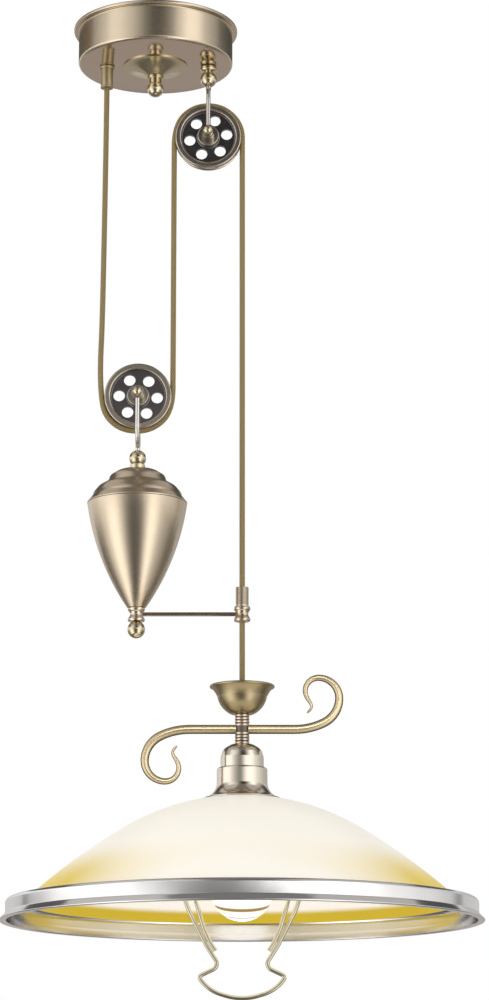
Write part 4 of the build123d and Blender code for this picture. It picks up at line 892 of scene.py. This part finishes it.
# studio: pale floor, white surroundings, a soft light on each side, a small one for the scroll arms,
# and a round wall and cards that only reflections see
studio = {
    "middleX": 0.05,
    "fill": 0.47,
    "floor": {"height": -4.6, "reach": 7, "steps": 8, "dark": (0.74, 0.73, 0.71),
              "light": (0.8, 0.79, 0.775), "grain": (3.0, 3.0), "rough": 0.8},
    # azimuth, distance, height, width, tall, watts
    "softLights": [(-60.0, 2.7, -0.35, 2.6, 3.2, 23.5), (43.0, 2.7, -0.35, 1.9, 3.2, 20.0)],
    # small soft light in front of the scroll arms, for the glint along their crest; it lights only them
    "crestLight": {"place": (0.086, -2.4, 0.4), "size": (0.7, 1.3), "watts": 8.0},
    # round wall that only reflections see, in bands from one height to another, each with its own glow
    "surround": {"distance": 3.3, "strength": 1.9, "tint": (1.0, 0.985, 0.965), "steps": 145},
    "bands": [(-4.6, -0.7, "low"), (-0.7, -0.42, "rim"), (-0.42, 0.5, "bell"),
              (0.5, 0.7, "mid"), (0.7, 2.2, "high")],
    # height, left, right and glow of the level cards: one over the floor and three in place of a ceiling
    "decks": [(-4.58, -9.0, 9.0, (0.2, 0.19, 0.18)), (2.2, -0.9, 1.0, (0.21, 0.2, 0.19)),
              (2.2, -9.0, -0.9, (0.6, 0.58, 0.555)), (2.2, 1.0, 9.0, (0.52, 0.5, 0.48))],
    "deckReach": 9.0,
    # start, end, low, high and glow of the upright cards, which stand a little inside the round wall
    "cards": [(-134.0, -104.0, 0.95, 1.7, (0.15, 0.095, 0.055)),
              (130.0, 230.0, -2.4, -0.85, (0.45, 0.42, 0.4))],
    "cardInset": 0.05,
    "cardSteps": 24,
}
# glow of each band of the round wall: azimuths, with the share of the wall's strength there
glows = {
    "low": {-180: 0.08, -150: 0.07, -128: 0.07, -108: 0.18, -86: 0.52, -68: 0.94, -56: 1.0, -44: 0.7,
        -30: 0.25, -18: 0.09, -6: 0.06, 4: 0.07, 14: 0.16, 22: 0.42, 32: 0.96, 42: 1.0, 52: 0.72, 64: 0.42,
        84: 0.27, 104: 0.12, 134: 0.1, 180: 0.08},
    "rim": {-180: 0.3, -145: 0.36, -132: 0.34, -126: 0.14, -120: 0.28, -112: 0.34, -93: 0.6, -76: 0.7,
        -50: 0.68, -36: 0.48, -23: 0.17, -11: 0.11, 1: 0.13, 13: 0.25, 24: 0.62, 38: 0.72, 64: 0.68,
        79: 0.56, 96: 0.48, 115: 0.37, 125: 0.16, 132: 0.34, 150: 0.34, 180: 0.3},
    "bell": {-180: 0.3, -121: 0.5, -77: 0.8, -60: 0.75, -44: 0.49, -30: 0.3, -14: 0.18, -4: 0.2, 6: 0.4,
        14: 0.68, 30: 0.85, 44: 0.85, 60: 0.7, 77: 0.53, 100: 0.4, 121: 0.31, 180: 0.25},
    "mid": {-180: 0.3, -121: 0.5, -77: 0.6, -60: 0.66, -44: 0.5, -30: 0.32, -14: 0.12, 0: 0.03, 12: 0.03,
        24: 0.16, 37: 0.52, 50: 0.8, 64: 0.72, 79: 0.46, 100: 0.46, 121: 0.5, 180: 0.3},
    "high": {-180: 0.05, -146: 0.05, -116: 0.06, -97: 0.23, -79: 0.38, -64: 0.65, -50: 0.61, -37: 0.46,
        -24: 0.3, -12: 0.11, 0: 0.02, 13: 0.02, 24: 0.13, 37: 0.49, 50: 0.8, 64: 0.77, 79: 0.38, 96: 0.26,
        116: 0.07, 146: 0.04, 180: 0.05},
}


# world: white to rays from the camera, to reflections and through glass, and a weaker fill to all others
def makeWorld():
    world = bpy.data.worlds.new("studio")
    scene.world = world
    world.use_nodes = True
    tree = world.node_tree
    tree.nodes.clear()
    white = addNode(tree, "Background", Color=(1, 1, 1), Strength=1.0)
    fill = addNode(tree, "Background", Color=(1, 1, 1), Strength=studio["fill"])
    ray = addNode(tree, "LightPath").outputs
    direct = calc(tree, "MAXIMUM", ray["Is Camera Ray"], ray["Is Glossy Ray"])
    mix, out = addNode(tree, "MixShader"), addNode(tree, "OutputWorld")
    share = calc(tree, "MAXIMUM", direct, ray["Is Transmission Ray"])
    for target, source in zip(mix.inputs, (share, fill.outputs[0], white.outputs[0])):
        feed(tree, target, source)
    feed(tree, out.inputs["Surface"], mix.outputs[0])


# floor: a level grid of points, with a noise that moves its tone a little
def makeFloor():
    spec = studio["floor"]
    side = np.linspace(-spec["reach"], spec["reach"], spec["steps"])
    x, y = np.meshgrid(side, side, indexing="ij")
    floor = gridPiece("floor", np.stack([x, y, np.full_like(x, spec["height"])], -1), np.stack([x, y], -1))
    pale = Finish("floorPale")
    grain = addNode(pale.tree, "TexNoise", Scale=spec["grain"][0], Detail=spec["grain"][1]).outputs["Fac"]
    colour = mixColours(pale.tree, grain, spec["dark"], spec["light"])
    pale.shade(Base_Color=colour, Roughness=spec["rough"])
    dress(floor, pale.material)


# point at an azimuth from the camera's side, to the right as seen from it
def aroundPoint(azimuth, distance, height):
    angle = np.radians(azimuth)
    x, y = studio["middleX"] + distance * np.sin(angle), -distance * np.cos(angle)
    return np.stack(np.broadcast_arrays(x, y, height), -1)


# card that no ray but a reflected one sees, with an even glow
def reflectedCard(name, points, glow, uv=None, closeU=False):
    card = gridPiece(name, points, points[..., :2] if uv is None else uv, closeU)
    finish = Finish(name)
    finish.shade(Base_Color=(0, 0, 0), Specular_IOR_Level=0.0, Emission_Color=glow, Emission_Strength=1.0)
    dress(card, finish.material)
    card.visible_camera = card.visible_diffuse = card.visible_shadow = card.visible_transmission = False
    return finish


# bands of the round wall: the glow follows the azimuth, read from UV, through a ramp
def makeSurround():
    wall = studio["surround"]
    azimuths = np.linspace(-180, 180, wall["steps"])
    uv = np.stack(np.meshgrid((azimuths + 180) / 360, [0.0, 1.0], indexing="ij"), -1)
    for number, (low, high, glowName) in enumerate(studio["bands"]):
        azimuth, height = np.meshgrid(azimuths[:-1], np.array([low, high]), indexing="ij")
        points = aroundPoint(azimuth, wall["distance"], height)
        finish = reflectedCard(f"surround{number}", points, wall["tint"], uv, closeU=True)
        turn = addNode(finish.tree, "SeparateXYZ", Vector=finish.place["UV"]).outputs["X"]
        shades = [((spot + 180) / 360, [share * tint for tint in wall["tint"]])
                  for spot, share in glows[glowName].items()]
        finish.shade(Emission_Color=colourRamp(finish.tree, turn, shades, "EASE"),
                     Emission_Strength=wall["strength"])


# upright cards are arcs of the round wall from one height to another, level ones are rectangles
def makeCards():
    distance = studio["surround"]["distance"] - studio["cardInset"]
    for number, (start, end, low, high, glow) in enumerate(studio["cards"]):
        azimuths = np.linspace(start, end, studio["cardSteps"])
        azimuth, height = np.meshgrid(azimuths, np.array([low, high]), indexing="ij")
        reflectedCard(f"card{number}", aroundPoint(azimuth, distance, height), glow)
    depth = np.array([-studio["deckReach"], studio["deckReach"]])
    for number, (height, left, right, glow) in enumerate(studio["decks"]):
        x, y = np.meshgrid(np.array([left, right]), depth, indexing="ij")
        reflectedCard(f"deck{number}", np.stack([x, y, np.full_like(x, height)], -1), glow)


# area light at a place, turned from pointing down by the given angles
def makeLight(name, place, rotation, size, watts):
    lamp = bpy.data.lights.new(name, "AREA")
    lamp.shape = "RECTANGLE"
    lamp.size, lamp.size_y = size
    lamp.energy = watts
    holder = bpy.data.objects.new(name, lamp)
    holder.location = place
    holder.rotation_euler = rotation
    scene.collection.objects.link(holder)
    return holder


# soft lights stand upright, and are turned by their azimuth to face the lamp
def makeSoftLights():
    for number, (azimuth, distance, height, width, tall, watts) in enumerate(studio["softLights"]):
        rotation = (math.pi / 2, 0.0, math.radians(azimuth))
        place = aroundPoint(azimuth, distance, height)
        holder = makeLight(f"softLight{number}", place, rotation, (width, tall), watts)
        holder.visible_glossy = False


# the crest light is turned down by the angle whose tangent is its height over the arms by its distance
def makeCrestLight():
    spec = studio["crestLight"]
    down = math.atan2(spec["place"][2] - scrollArm["height"], -spec["place"][1])
    rotation = (math.pi / 2 - down, 0.0, 0.0)
    holder = makeLight("crestLight", spec["place"], rotation, spec["size"], spec["watts"])
    arms = bpy.data.collections.new("crestLit")
    for piece in scrollPieces:
        arms.objects.link(piece)
    holder.light_linking.receiver_collection = arms


makeWorld()
makeFloor()
makeSurround()
makeCards()
makeSoftLights()
makeCrestLight()
scene.view_settings.view_transform = "Standard"
print("studio lit")

bpy.context.view_layer.update()
